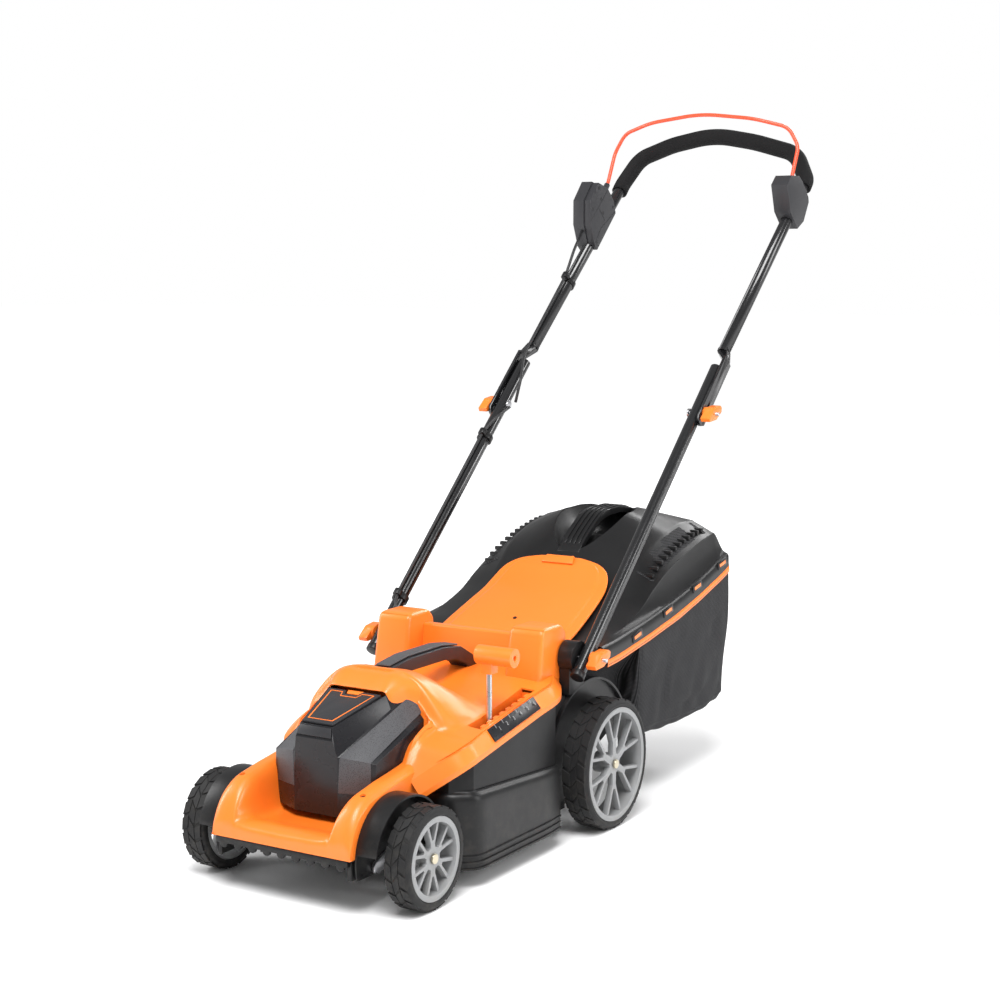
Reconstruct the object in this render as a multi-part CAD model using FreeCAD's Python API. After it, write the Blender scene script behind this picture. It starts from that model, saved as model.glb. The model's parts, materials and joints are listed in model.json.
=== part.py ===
import FreeCAD, Part
import math
import os

# Cordless rotary lawn mower. Millimetres, +Z up, nose towards -Y, handle towards +Y.
# Inside this file y = 0 is the front wheels' axis at rest; save() moves everything by centre_shift,
# so that the origin lies on the ground under the middle of the whole machine.

V = FreeCAD.Vector
os.makedirs("parts", exist_ok=True)

# driving dimensions
centre_shift = -586.23
front_wheel_radius = 72.0
rear_wheel_radius = 101.0
wheelbase = 462.6
front_wheel = (155.0, 195.0)
rear_wheel = (176.0, 221.0)
front_rim_radius = 58.0
rear_rim_radius = 88.0
blade_centre_y = 215.0
blade_length = 340.0
deck_half_width = 185.0
skirt_height = 25.0
ceiling_height = 105.0
wall = 3.0
crank_length = 40.0
crank_rest_deg = 18.0
arm_length = 20.0
lever_x = 148.0
lever_y = 207.0
lever_z = 118.0
lever_link_arm = 25.0
tube_x = 189.0
tube_radius = 10.5
tube_wall = 1.3
lower_pivot = (416.0, 272.0)
upper_pivot = (787.0, 620.0)
handle_slope_deg = math.degrees(math.atan2(upper_pivot[1] - lower_pivot[1],
                                           upper_pivot[0] - lower_pivot[0]))
bail_pivot = (1140.0, 988.0)
flap_hinge = (432.0, 262.0)
lid_slope_deg = math.degrees(math.atan2(28.0, 95.0))
lid_front = (-6.0, 233.0)
running_gap = 0.06
pivot_drop = crank_length * math.sin(math.radians(crank_rest_deg))
pivot_back = crank_length * math.cos(math.radians(crank_rest_deg))
front_pivot = (-pivot_back, front_wheel_radius - pivot_drop)
rear_pivot = (wheelbase - pivot_back, rear_wheel_radius - pivot_drop)


def save(name, *solids):
    """writes one node; every entry is a separate solid"""
    flat = []
    for s in solids:
        flat += s.Solids
    moved = Part.makeCompound(flat)
    moved.translate(V(0, centre_shift, 0))
    moved.exportStep("parts/" + name + ".step")


def box(x0, x1, y0, y1, z0, z1):
    return Part.makeBox(x1 - x0, y1 - y0, z1 - z0, V(x0, y0, z0))


def rod_x(x0, x1, y, z, r):
    return Part.makeCylinder(r, x1 - x0, V(x0, y, z), V(1, 0, 0))


def rod_z(x, y, z0, z1, r):
    return Part.makeCylinder(r, z1 - z0, V(x, y, z0), V(0, 0, 1))


def face_of(points):
    return Part.Face(Part.makePolygon([V(*p) for p in points] + [V(*points[0])]))


def prism_x(yz, x0, x1):
    return face_of([(x0, y, z) for y, z in yz]).extrude(V(x1 - x0, 0, 0))


def prism_y(xz, y0, y1):
    return face_of([(x, y0, z) for x, z in xz]).extrude(V(0, y1 - y0, 0))


def prism_z(xy, z0, z1):
    return face_of([(x, y, z0) for x, y in xy]).extrude(V(0, 0, z1 - z0))


def mirror(shape):
    return shape.mirror(V(0, 0, 0), V(1, 0, 0))


def both(shape):
    return [shape, mirror(shape)]


def fuse(shapes):
    out = shapes[0]
    if len(shapes) > 1:
        out = out.multiFuse(shapes[1:])
    return out.removeSplitter()


def cut(shape, *tools):
    for t in tools:
        shape = shape.cut(t)
    return shape


def largest(shape):
    return sorted(shape.Solids, key=lambda s: -s.Volume)[0]


def full(half):
    """a closed outline from its right half, listed from the top down"""
    left = [(-x, z) for x, z in half if x > 0]
    return left[::-1] + half


def inset(points, t):
    """the outline moved inwards by t all round"""
    n = len(points)
    pairs = zip(points, points[1:] + points[:1])
    area = sum(x0 * y1 - x1 * y0 for (x0, y0), (x1, y1) in pairs)
    side = 1.0 if area > 0 else -1.0
    out = []
    for i in range(n):
        ax, ay = points[i - 1]
        bx, by = points[i]
        cx, cy = points[(i + 1) % n]
        l1 = math.hypot(bx - ax, by - ay)
        l2 = math.hypot(cx - bx, cy - by)
        n1 = (-(by - ay) / l1 * side, (bx - ax) / l1 * side)
        n2 = (-(cy - by) / l2 * side, (cx - bx) / l2 * side)
        k = t / (1.0 + n1[0] * n2[0] + n1[1] * n2[1])
        out.append((bx + (n1[0] + n2[0]) * k, by + (n1[1] + n2[1]) * k))
    return out


def opened(points, low, drop):
    """the same outline with its base let down, so that a cut runs out of the bottom"""
    return [(x, z - drop if z < low else z) for x, z in points]


def loft(stations):
    """a ruled solid through flat outlines (x, z) at each y"""
    wires = []
    for y, xz in stations:
        wires.append(Part.makePolygon([V(x, y, z) for x, z in xz] + [V(xz[0][0], y, xz[0][1])]))
    return Part.makeLoft(wires, True, True)


def between(table, y):
    """straight-line reading of a table of (y, value)"""
    for (y0, v0), (y1, v1) in zip(table, table[1:]):
        if y <= y1:
            return v0 + (v1 - v0) * (y - y0) / (y1 - y0)
    return table[-1][1]


def pipe(points, radius, bend):
    """a round bar along straight runs joined by tangent arcs; bend is one radius or one for each corner"""
    pts = [V(*p) for p in points]
    edges = []
    start = pts[0]
    for i in range(1, len(pts) - 1):
        r = bend[i - 1] if isinstance(bend, list) else bend
        d1 = (pts[i] - pts[i - 1]).normalize()
        d2 = (pts[i + 1] - pts[i]).normalize()
        half = d1.getAngle(d2) / 2.0
        back = r * math.tan(half)
        p1 = pts[i] - d1 * back
        p2 = pts[i] + d2 * back
        inward = (d2 - d1).normalize()
        mid = pts[i] + inward * (r / math.cos(half) - r)
        edges.append(Part.LineSegment(start, p1).toShape())
        edges.append(Part.Arc(p1, mid, p2).toShape())
        start = p2
    edges.append(Part.LineSegment(start, pts[-1]).toShape())
    path = Part.Wire(edges)
    ring = Part.Wire(Part.makeCircle(radius, pts[0], pts[1] - pts[0]))
    made = path.makePipeShell([ring], True, True)
    section = math.pi * radius * radius
    print("pipe", round(path.Length, 1), "mm, volume ratio",
          round(made.Volume / (section * path.Length), 3))
    return made


def boundary(y):
    """height of the line where the orange cover meets the black deck"""
    return between([(60.0, 173.0), (95.0, 180.0), (345.0, 226.0)], y)


def boundary_left(y):
    """the same line on the narrower left side"""
    return between([(60.0, 132.0), (95.0, 152.0), (130.0, 166.0), (200.0, 182.0), (345.0, 217.0)], y)


left_width = [(50.0, 119.0), (95.0, 142.3), (131.0, 166.5), (165.0, 179.5), (200.0, 185.0), (400.0, 185.0)]


# ---------------------------------------------------------------- wheels
def tyre(x0, x1, y, r, rim):
    profile = [(x0, rim), (x0, r - 7), (x0 + 5, r), (x1 - 3, r), (x1, r - 4), (x1, rim)]
    ring = face_of([(x, y, r + h) for x, h in profile])
    return ring.revolve(V(0, y, r), V(1, 0, 0), 360)


def spoke(x0, x1, y, z, root, tip, degrees):
    stem = [(root - 6, -5.5), (root - 6, 5.5), (tip * 0.5, 4.5), (tip * 0.5, -4.5)]
    parts = [prism_x([(y + a, z + b) for a, b in stem], x0, x1)]
    for s in (-1, 1):
        arm = [(tip * 0.42, s * 0.5), (tip * 0.42, s * 5.0), (tip + 1, s * (tip * 0.27 + 2.5)),
               (tip + 1, s * (tip * 0.27 - 2.5))]
        parts.append(prism_x([(y + a, z + b) for a, b in arm], x0, x1))
    made = fuse(parts)
    made.rotate(V(0, y, z), V(1, 0, 0), degrees)
    return made


def rim(x0, x1, y, z, r, bore):
    outer = rod_x(x0, x1, y, z, r)
    ring = cut(outer, rod_x(x0 - 1, x1 + 1, y, z, r - 8))
    hub = rod_x(x0 + 6, x1 - 5, y, z, 16.0)
    spokes = [spoke(x1 - 14, x1 - 5, y, z, 16.0, r - 8, 60 * i + 90) for i in range(6)]
    return cut(fuse([ring, hub] + spokes), rod_x(x0 - 1, x1 + 1, y, z, bore))


stub_radius = 5.0


def wheel(name, span, y, r, rim_r):
    for side, hand in (("right", 1), ("left", -1)):
        x0, x1 = span
        made = {
            name + "_tyre_" + side: tyre(x0, x1, y, r, rim_r),
            name + "_rim_" + side: rim(x0 + 2, x1 - 1, y, r, rim_r, stub_radius + running_gap),
        }
        for node, solid in made.items():
            save(node, solid if hand > 0 else mirror(solid))


wheel("front", front_wheel, 0.0, front_wheel_radius, front_rim_radius)
wheel("rear", rear_wheel, wheelbase, rear_wheel_radius, rear_rim_radius)


# ---------------------------------------------------------------- axles and height adjustment
def axle(pivot, wheel_y, wheel_z, bar_end, crank_x, span, arm_x):
    pieces = [rod_x(-bar_end, bar_end, pivot[0], pivot[1], 5.0)]
    for s in (1, -1):
        x0, x1 = sorted((s * crank_x, s * (crank_x + 5.0)))
        a = math.atan2(wheel_z - pivot[1], wheel_y - pivot[0])
        dy, dz = -math.sin(a) * 9.0, math.cos(a) * 9.0
        web = [(pivot[0] + dy, pivot[1] + dz), (wheel_y + dy, wheel_z + dz),
               (wheel_y - dy, wheel_z - dz), (pivot[0] - dy, pivot[1] - dz)]
        pieces += [prism_x(web, x0, x1), rod_x(x0, x1, pivot[0], pivot[1], 9.0),
                   rod_x(x0, x1, wheel_y, wheel_z, 9.0)]
        x0, x1 = sorted((s * crank_x, s * (span[1] - 4.0)))
        pieces.append(rod_x(x0, x1, wheel_y, wheel_z, stub_radius))
    tip = arm_tip(pivot)
    pieces += [rod_x(arm_x, arm_x + 4, pivot[0], pivot[1], 9.0),
               rod_x(arm_x, arm_x + 4, tip[0], tip[1], 7.0),
               rod_x(arm_x - 9, arm_x + 4, tip[0], tip[1], 3.0)]
    a = math.radians(crank_rest_deg)
    dy, dz = math.cos(a) * 6.0, math.sin(a) * 6.0
    pieces.append(prism_x([(pivot[0] - dy, pivot[1] - dz), (tip[0] - dy, tip[1] - dz),
                           (tip[0] + dy, tip[1] + dz), (pivot[0] + dy, pivot[1] + dz)], arm_x, arm_x + 4))
    return fuse(pieces)


def arm_tip(pivot):
    a = math.radians(crank_rest_deg)
    return (pivot[0] - arm_length * math.sin(a), pivot[1] + arm_length * math.cos(a))


link_x = 100.0
save("front_axle", axle(front_pivot, 0.0, front_wheel_radius, 122.0, 121.0, front_wheel, link_x + 5))
save("rear_axle", axle(rear_pivot, wheelbase, rear_wheel_radius, 168.5, 167.5, rear_wheel, link_x + 5))

nut_face = 4.0
save("front_wheel_nuts", *both(cut(rod_x(front_wheel[1] - 5.5, front_wheel[1] - 1.5, 0, front_wheel_radius,
                                         7.0),
                                   rod_x(0, front_wheel[1] - nut_face, 0, front_wheel_radius,
                                         stub_radius))))
save("rear_wheel_nuts", *both(cut(rod_x(rear_wheel[1] - 5.5, rear_wheel[1] - 1.5, wheelbase,
                                        rear_wheel_radius, 7.0),
                                  rod_x(0, rear_wheel[1] - nut_face, wheelbase, rear_wheel_radius,
                                        stub_radius))))


def height_link():
    f = arm_tip(front_pivot)
    r = arm_tip(rear_pivot)
    run_z = lever_z + lever_link_arm
    route = [(link_x, f[0] + 4, f[1] + 5), (link_x, 58, run_z), (link_x, 372, run_z),
             (link_x, r[0] - 4, r[1] + 5)]
    eyes = [rod_x(link_x - 4, link_x + 4, p[0], p[1], 7.5) for p in (f, r)]
    body = fuse([pipe(route, 4.0, 25.0)] + eyes + [rod_x(link_x + 1, link_x + 14, lever_y, run_z, 3.0)])
    return cut(body, rod_x(link_x - 5, link_x + 4.9, f[0], f[1], 3.0 + running_gap),
               rod_x(link_x - 5, link_x + 4.9, r[0], r[1], 4.2))


save("height_link", height_link())

lever_top = 309.0
shaft = rod_x(92, lever_x + 4, lever_y, lever_z, 4.0)
fork = cut(box(link_x + 8, link_x + 12, lever_y - 8, lever_y + 8, lever_z - 6, lever_z + 36),
           box(link_x + 7, link_x + 13, lever_y - 4.8, lever_y + 4.8, lever_z + 17, lever_z + 40))
lever_rod = rod_z(lever_x, lever_y, lever_z - 4, lever_top - 20, 4.0)
save("height_lever_rod", fuse([shaft, fork, lever_rod,
                               rod_x(lever_x - 5, lever_x + 5, lever_y, lever_z, 8.0)]))
grip = fuse([rod_x(lever_x - 18, lever_x + 43, lever_y, lever_top, 14.0),
             box(lever_x - 9, lever_x + 9, lever_y - 9, lever_y + 9, lever_top - 26, lever_top)])
save("height_lever_grip", cut(grip, rod_z(lever_x, lever_y, 200, lever_top - 20, 4.0),
                              rod_x(lever_x + 39, lever_x + 50, lever_y, lever_top, 4.0)))


# ---------------------------------------------------------------- black deck
def deck_plan(t):
    w = deck_half_width - wall
    points = [(-118, 82), (118, 82), (158, 85), (w, 112), (w, 338), (165, 352), (165, 396),
              (-165, 396), (-165, 352), (-w, 338), (-w, 200), (-176, 165), (-163, 131), (-139, 97),
              (-130, 82)]
    return inset(points, t)


chute_half = 87.5


def chute_block(grow):
    side = [(352, 78), (396.5, 78), (412, 98), (466, 110), (466, 250), (440, 250), (352, 118)]
    return prism_x(inset(side, -grow), -chute_half - grow, chute_half + grow)


def deck_body():
    side = [(70, skirt_height), (410, skirt_height), (410, 215), (350, 215), (338, 221), (95, 176),
            (70, 172)]
    left = [(70, skirt_height), (410, skirt_height), (410, 206), (350, 206), (338, 210), (200, 178),
            (130, 162), (95, 148), (70, 134)]
    outer = prism_z(deck_plan(0), skirt_height, 240)
    outer = fuse([outer.common(prism_x(side, 0, 200)), outer.common(prism_x(left, -200, 0))])
    inner = prism_z(deck_plan(wall), skirt_height - 5, 260)
    shell = cut(outer, inner)
    plate = prism_z(deck_plan(1.0), ceiling_height, ceiling_height + wall)
    volute = cut(rod_z(0, blade_centre_y, 42, ceiling_height + 1, blade_length / 2 + 8),
                 rod_z(0, blade_centre_y, 40, ceiling_height, blade_length / 2 + 5))
    front = cut(rod_z(0, blade_centre_y, 42, 91, blade_length / 2 + 8),
                rod_z(0, blade_centre_y, 40, 92, blade_length / 2 + 5))
    front = front.common(box(-112.5, 112.5, 30, 90, 40, 91))
    volute = volute.common(prism_z(deck_plan(1.0), 20, 200))
    skirt = []
    for z in (skirt_height, skirt_height + 11, skirt_height + 22):
        band = prism_z(deck_plan(-2.5 + (z - skirt_height) * 0.06), z, z + 4)
        skirt.append(cut(band, prism_z(deck_plan(wall - 1), z - 1, z + 6)))
    sweep = rod_z(0, blade_centre_y, 20, 76, blade_length / 2 + 5)
    body = cut(fuse([shell, plate, volute] + skirt), sweep.common(box(-150, 150, 30, 90, 20, 76)))
    body = fuse([body, front])
    motor_hole = rod_z(0, blade_centre_y, 80, 130, 20)
    return cut(body, motor_hole, chute_block(0.3), box(-200, 200, 376, 420, 0, 40))


def nose_frame():
    outer = box(-114, 114, -84, 84, 50, 92)
    inner = box(-111, 111, -81, 90, 40, 89)
    return cut(outer, inner, box(-108, 108, -90, -70, 40, 72))


def ring_sector(y, z, r0, r1, x0, x1, start, sweep):
    ring = cut(rod_x(x0, x1, y, z, r1), rod_x(x0 - 1, x1 + 1, y, z, r0))
    reach = 3 * r1
    steps = max(2, int(sweep / 60) + 1)
    fan = [(y, z)]
    for i in range(steps + 1):
        a = math.radians(start + sweep * i / steps)
        fan.append((y + reach * math.cos(a), z + reach * math.sin(a)))
    return ring.common(prism_x(fan, x0 - 1, x1 + 1))


def front_arch():
    band = ring_sector(0, 72, 78, 81, 118.3, 152, 4, 166)
    web = rod_x(118.3, 120.5, 0, 72, 81).common(box(110, 130, -90, 90, 50, 160))
    ties = [box(113, 119.5, 60, 84, 52, 79.5), box(113, 119.5, -76, -60, 55, 79.5)]
    return fuse([band, web] + ties)


def rear_arch():
    band = ring_sector(465, 103, 123, 127, 146, 172, 22, 196)
    side = ring_sector(465, 103, 20, 127, 162, 165, 22, 196)
    side = cut(side, box(160, 168, 400, 600, 0, 80))
    front_web = box(146, 170, 341, 345, 30, 110)
    return fuse([band, side, front_web])


deck_parts = [deck_body(), nose_frame()] + both(front_arch()) + both(rear_arch())
bridge = box(-164, 164, 384, 387, 108, 222)
lever_bosses = [box(91, 99, lever_y - 10, lever_y + 10, ceiling_height + 2, lever_z + 10),
                box(128, 138, lever_y - 10, lever_y + 10, ceiling_height + 2, lever_z + 10)]
deck = fuse(deck_parts + [cut(bridge, box(-101, 101, 380, 390, 100, 215))] + lever_bosses)
pivot_hole = 5.0 + running_gap
deck = cut(deck, rod_x(-130, 130, front_pivot[0], front_pivot[1], pivot_hole),
           rod_x(-170, 170, rear_pivot[0], rear_pivot[1], pivot_hole),
           rod_x(80, 160, lever_y, lever_z, 4.0 + running_gap),
           box(92, 116, 62, 100, 84, 150), box(92, 116, 376, 425, 100, 160), box(92, 110, -66, 84, 86, 95),
           box(-104, 104, 60, 140, 112, 260), box(-156, 156, 330, 410, 204, 240))
clips = []
for pivot, xs, reach in ((front_pivot, (-70, 62), 9), (rear_pivot, (-136, 124), 30)):
    for x in xs:
        clips.append(cut(box(x, x + 12, pivot[0] - reach, pivot[0] + 9, pivot[1] - 9, pivot[1] + 31),
                         rod_x(x - 1, x + 13, pivot[0], pivot[1], pivot_hole)))
save("deck_shell", fuse([deck] + clips))


# ---------------------------------------------------------------- front comb
def front_comb():
    lobes = [box(-112, 112, -90, -84.2, 70, 79)]
    for i in range(9):
        lobes.append(Part.makeCylinder(6.5, 5, V(-100 + 25 * i, -90, 70), V(0, 1, 0)))
    return fuse(lobes)


save("front_comb", front_comb())


# ---------------------------------------------------------------- discharge chute
def chute():
    inner = [(349, 60), (393.5, 60), (393.5, 79), (411, 101.3), (470, 113.4), (470, 246.5), (441.5, 246.5),
             (355, 117.5), (355, 104), (349, 104)]
    return cut(chute_block(0), prism_x(inner, 3 - chute_half, chute_half - 3))


save("discharge_chute", chute())


# ---------------------------------------------------------------- orange top cover
dome_half = [
    (-8.0, [(28, 233), (37, 192), (39, 112)]),
    (12.0, [(31, 238), (41, 201), (87, 184), (88, 112)]),
    (89.0, [(49, 261), (58, 242), (90, 213), (98, 112)]),
    (133.0, [(50, 277), (66, 263), (92, 230), (102, 112)]),
]


def dome_outline(i, t):
    y, half = dome_half[i]
    pts = list(half)
    if len(pts) == 3:
        pts.insert(2, (38, 170))
    return y, opened(inset(full(pts), t), 120, 20 if t else 0)


def cover_roof(t):
    stations = []
    widths = [(50.0, 150.0), (95.0, deck_half_width), (345.0, deck_half_width), (392.0, 160.0)]
    for y in (50.0, 95.0, 131.0, 165.0, 200.0, 345.0, 392.0):
        w = between(widths, y)
        z = boundary(y)
        v = 160.0 if y == 392 else between(left_width, y)
        u = boundary_left(y)
        points = [(-v, u - 8), (-v, u), (-v + 14, u + 11), (-v + 46, u + 26), (w - 45, z + 21),
                  (w - 15, z + 18),
                  (w, z), (w, z - 8)]
        ends = t if y == 50 else (-t if y == 392 else 0)
        low = inset(points, t)
        if t:
            low = [(low[0][0], u - 25)] + low[1:-1] + [(low[-1][0], u - 25)]
        stations.append((y + ends, low))
    return loft(stations)


def cover_bulge(t):
    rows = [
        (124.0, [(46, 284), (64, 271), (95, 231), (106, 196)]),
        (150.0, [(44, 285), (82, 266), (122, 222), (138, 195)]),
        (195.0, [(40, 274), (90, 250), (126, 222), (138, 205)]),
        (240.0, [(36, 236), (80, 232), (120, 222), (134, 210)]),
    ]
    return loft([(y + (t if y == 124 else 0), opened(inset(full(h), t), 211, 60 if t else 0)) for y,
                 h in rows])


def lid_cowl():
    """the piece of the cover over the rear of the hood, behind the battery lid"""
    rows = [(86.0, [(46, 263), (50, 258), (50, 246)]), (128.0, [(46, 284), (64, 271), (66, 252)])]
    return loft([(y, full(half)) for y, half in rows])


def nose_profile(t, low):
    if low:
        pts = [(-92, 80), (-87, 95), (-60, 104), (-54, 98), (20, 100), (60, 100), (60, 80)]
    else:
        pts = [(-92, 80), (-88, 108), (-72, 138), (-44, 156), (0, 165), (40, 172), (72, 178), (72, 80)]
    return opened(inset(pts, t), 80 + t + 1, 20) if t else pts


def nose(t):
    side = prism_x(nose_profile(t, False), 78 + t, 118 - t)
    middle = prism_x(nose_profile(t, True), -90, 90)
    return fuse([middle] + both(side))


def tower(t):
    side = [(336, 205), (352, 318), (362, 322), (412, 322), (424, 308), (428, 205)]
    front = [(88, 205), (92, 318), (98, 322), (140, 322), (152, 312), (154, 205)]
    pts = opened(inset(side, t), 209, 20 if t else 0)
    pts2 = opened(inset(front, t), 209, 20 if t else 0)
    return prism_x(pts, 80, 160).common(prism_y(pts2, 330, 434))


def rear_wall(t):
    pts = inset([(378, 205), (392, 302), (410, 302), (412, 205)], t)
    return prism_x(opened(pts, 209, 20 if t else 0), -92, 92)


def in_lid_plane(solid):
    """from flat, with y along the slope and z out of the lid, to the lid's place"""
    out = solid.copy()
    out.rotate(V(0, 0, 0), V(1, 0, 0), lid_slope_deg)
    out.translate(V(0, lid_front[0], lid_front[1]))
    return out


def lid_outline(grow):
    return [(-26 - grow, 2 - grow), (26 + grow, 2 - grow), (45 + grow, 94 + grow), (-45 - grow, 94 + grow)]


def lid_solid(grow, up, down):
    return in_lid_plane(prism_z(lid_outline(grow), down, up))


pin_s = 91.0
pin_d = -3.0


def hinge_room():
    """space for the lid's rear edge as it swings up"""
    return fuse([in_lid_plane(rod_x(-46.5, 46.5, pin_s, pin_d, 7.2)), box(-46.5, 46.5, 80, 88.7, 250, 300)])


def link_room():
    """the space the height link sweeps"""
    front = prism_x([(-66, 64), (-30, 64), (90, 132), (90, 154), (36, 154), (-66, 93)], 92, 108)
    return fuse([front, box(92, 108, 60, 392, 133, 154)])


def top_cover():
    outer = fuse([cover_roof(0), cover_bulge(0), nose(0), rear_wall(0)] + both(tower(0)))
    inner = fuse([cover_roof(wall), cover_bulge(wall), rear_wall(wall)] + both(tower(wall)))
    shell = fuse([cut(outer, inner, nose(wall)), lid_cowl()])
    hood_room = loft([(y, inset(full(h if len(h) == 4 else h[:2] + [(38, 170)] + h[2:]), -0.8)) for y,
                      h in dome_half])
    hood_room = hood_room.common(box(-120, 120, -20, 140, 114, 300))
    shell = cut(shell, hood_room, box(-76, 76, -40, 130, 112, 180))
    shell = fuse([shell] + both(box(124, 132, 410, 440, 250, 270)))
    slot = box(lever_x - 7, lever_x + 7, lever_y - 42, lever_y + 103, 190, 300)
    shell = cut(shell, slot, rod_x(-140, 140, flap_hinge[0], flap_hinge[1], 3.05))
    return cut(shell, box(-60, 60, -6, 135, 150, 258), link_room(), box(-97, 97, 60, 400, 112, 150),
               box(-114.5, 114.5, -84.3, 84.5, 49, 92.4), chute_block(0.3), lid_solid(0.8, 14, -6),
               hinge_room())


cover = cut(top_cover(), deck)
save("top_cover", largest(cover))


def height_scale():
    z0, z1 = boundary(165), boundary(290)
    a = [(170.5, z0 + 18.5), (184.0, z0 + 2.5), (185.4, z0 + 3.6), (171.9, z0 + 19.6)]
    b = [(170.5, z1 + 18.5), (184.0, z1 + 2.5), (185.4, z1 + 3.6), (171.9, z1 + 19.6)]
    return loft([(165, a), (290, b)])


save("height_scale", height_scale())


# ---------------------------------------------------------------- motor hood and battery bay
def hood_space(t):
    inner = []
    for i in range(4):
        y, pts = dome_outline(i, t)
        inner.append((y + (t if i == 0 else 0) + (3 if i == 3 else 0), pts))
    return loft(inner)


def hood():
    outer = loft([dome_outline(i, 0) for i in range(4)])
    shell = cut(outer, hood_space(2.5))
    mouth = lid_solid(0.5, 12.0, -6.0)
    shell = cut(shell, mouth)
    shell = shell.common(box(-130, 130, -20, 134, 114, 300))
    shell = cut(shell, link_room(), hinge_room())
    bosses = in_lid_plane(rod_x(46.8, 50, pin_s, pin_d, 4.5))
    shell = fuse([shell] + [x.common(outer) for x in both(bosses)])
    return largest(cut(shell, in_lid_plane(rod_x(-60, 60, pin_s, pin_d, 1.5))))


save("motor_hood", hood())

lid_plate = prism_z(lid_outline(0), -1.0, 3.0)
thumb = prism_z([(-15, 95), (15, 95), (11, 84), (-11, 84)], -2, 4)
barrels = [rod_x(x, x + 12, pin_s, pin_d, 4.0) for x in (-38, 26)]
lid = cut(fuse([cut(lid_plate, thumb)] + barrels), rod_x(-60, 60, pin_s, pin_d, 1.5 + running_gap))
save("battery_lid", in_lid_plane(lid))
lid_pins = [in_lid_plane(rod_x(x, x + 24, pin_s, pin_d, 1.5)) for x in (-49, 25)]

pack_top, pack_bottom = -17.0, -82.0


def pack_outline(grow):
    return inset([(-25.5, 15), (25.5, 15), (36, 66), (36, 80), (-36, 80), (-36, 66)], -grow)


pack = fuse([prism_z(pack_outline(0), pack_bottom, pack_top - 5),
             prism_z(pack_outline(-4), pack_top - 6, pack_top)])
button_hole = box(-10.3, 10.3, 33.7, 48.3, pack_top - 6, pack_top + 1)
save("battery_pack", in_lid_plane(cut(pack, button_hole)))
save("battery_button", in_lid_plane(box(-10, 10, 34, 48, pack_top - 2.5, pack_top + 2.5)))
bay = cut(fuse([prism_z(pack_outline(3.5), -88, -20), box(-11, 11, 3, 14, -62, -20)]),
          prism_z(pack_outline(1.0), pack_bottom - 1, 0), box(-8, 8, 5, 11, -60, 0))
key = fuse([box(-7.5, 7.5, 5.5, 10.5, -45, -19), box(-10, 10, 5.2, 10.8, -19, -13)])
save("safety_key", in_lid_plane(key))
contacts = [in_lid_plane(box(x, x + 3, 40, 60, pack_bottom - 1, pack_bottom - 0.2)) for x in (-20, -1.5,
                                                                                              17)]
save("battery_bay", largest(in_lid_plane(bay).common(hood_space(3.0))), *contacts)


def side_panel():
    rows = []
    for y, half in dome_half[1:]:
        (ax, az), (bx, bz) = half[1], half[2]
        nx, nz = (az - bz), (bx - ax)
        n = math.hypot(nx, nz)
        nx, nz = nx / n, nz / n
        lift0, lift1 = 0.15, 1.6
        dx, dz = bx - ax, bz - az
        ax, az = ax + dx * 0.1, az + dz * 0.1
        bx, bz = bx - dx * 0.06, bz - dz * 0.06
        rows.append((y if y < 130 else 126.0, [(ax + nx * lift0, az + nz * lift0),
                                               (bx + nx * lift0, bz + nz * lift0),
                                               (bx + nx * lift1, bz + nz * lift1),
                                               (ax + nx * lift1, az + nz * lift1)]))
    return loft(rows)


save("hood_side_panels", *[largest(cut(x, cover)) for x in both(side_panel())])


# ---------------------------------------------------------------- carry handle
def carry_handle():
    arch = [(128, 262), (150, 285), (200, 291.5), (290, 292), (335, 286), (368, 268), (392, 238)]
    under = [(376, 232), (350, 256), (322, 268), (290, 272), (205, 272), (185, 268), (172, 255), (128, 250)]
    return prism_x(arch + under, -17, 17)


save("carry_handle", largest(cut(carry_handle(), cover)))
grip_strip = prism_x([(152, 286.5), (200, 292.6), (290, 293.1), (333, 287.6), (333, 290), (290, 296),
                      (200, 295.5), (152, 289)], -12, 12)
save("carry_handle_inlay", cut(grip_strip, carry_handle()))


# ---------------------------------------------------------------- motor and blade
motor = cut(fuse([rod_z(0, blade_centre_y, 112, 190, 45), rod_z(0, blade_centre_y, 108, 113, 60)]),
            rod_z(0, blade_centre_y, 100, 195, 6.0))
motor_cap = cut(rod_z(0, blade_centre_y, 190, 198, 30), rod_z(0, blade_centre_y, 185, 196, 6.0))
save("motor", motor, motor_cap)
save("controller_board", box(-35, 35, 95, 150, 190, 200))
save("blade_shaft", rod_z(0, blade_centre_y, 42, 186, 5.0))
save("blade_holder", cut(fuse([rod_z(0, blade_centre_y, 54, 76, 14), rod_z(0, blade_centre_y, 54, 60, 32)]),
                         rod_z(0, blade_centre_y, 50, 80, 5.0)))


def blade():
    half = blade_length / 2
    plan = [(-half, -24), (-30, -22), (30, -22), (half, -14), (half, 24), (30, 22), (-30, 22), (-half, 14)]
    plate = prism_z([(x, blade_centre_y + y) for x, y in plan], 50.5, 54)
    wings = []
    for s in (1, -1):
        lift = face_of([(s * 100, blade_centre_y + s * 22, 54), (s * 100, blade_centre_y + s * 30, 66),
                        (s * 100, blade_centre_y + s * 28, 68), (s * 100, blade_centre_y + s * 18, 54)])
        wings.append(lift.extrude(V(s * 62, 0, 0)))
    return cut(fuse([plate] + wings), rod_z(0, blade_centre_y, 40, 60, 5.0))


save("blade", blade())
washer = cut(rod_z(0, blade_centre_y, 47.5, 50.5, 14), rod_z(0, blade_centre_y, 40, 60, 5.0))
hexagon = [(9 * math.cos(math.radians(60 * i)),
            blade_centre_y + 9 * math.sin(math.radians(60 * i))) for i in range(6)]
save("blade_nut", washer, cut(prism_z(hexagon, 40, 47.5), rod_z(0, blade_centre_y, 42, 60, 5.0)))


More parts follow.
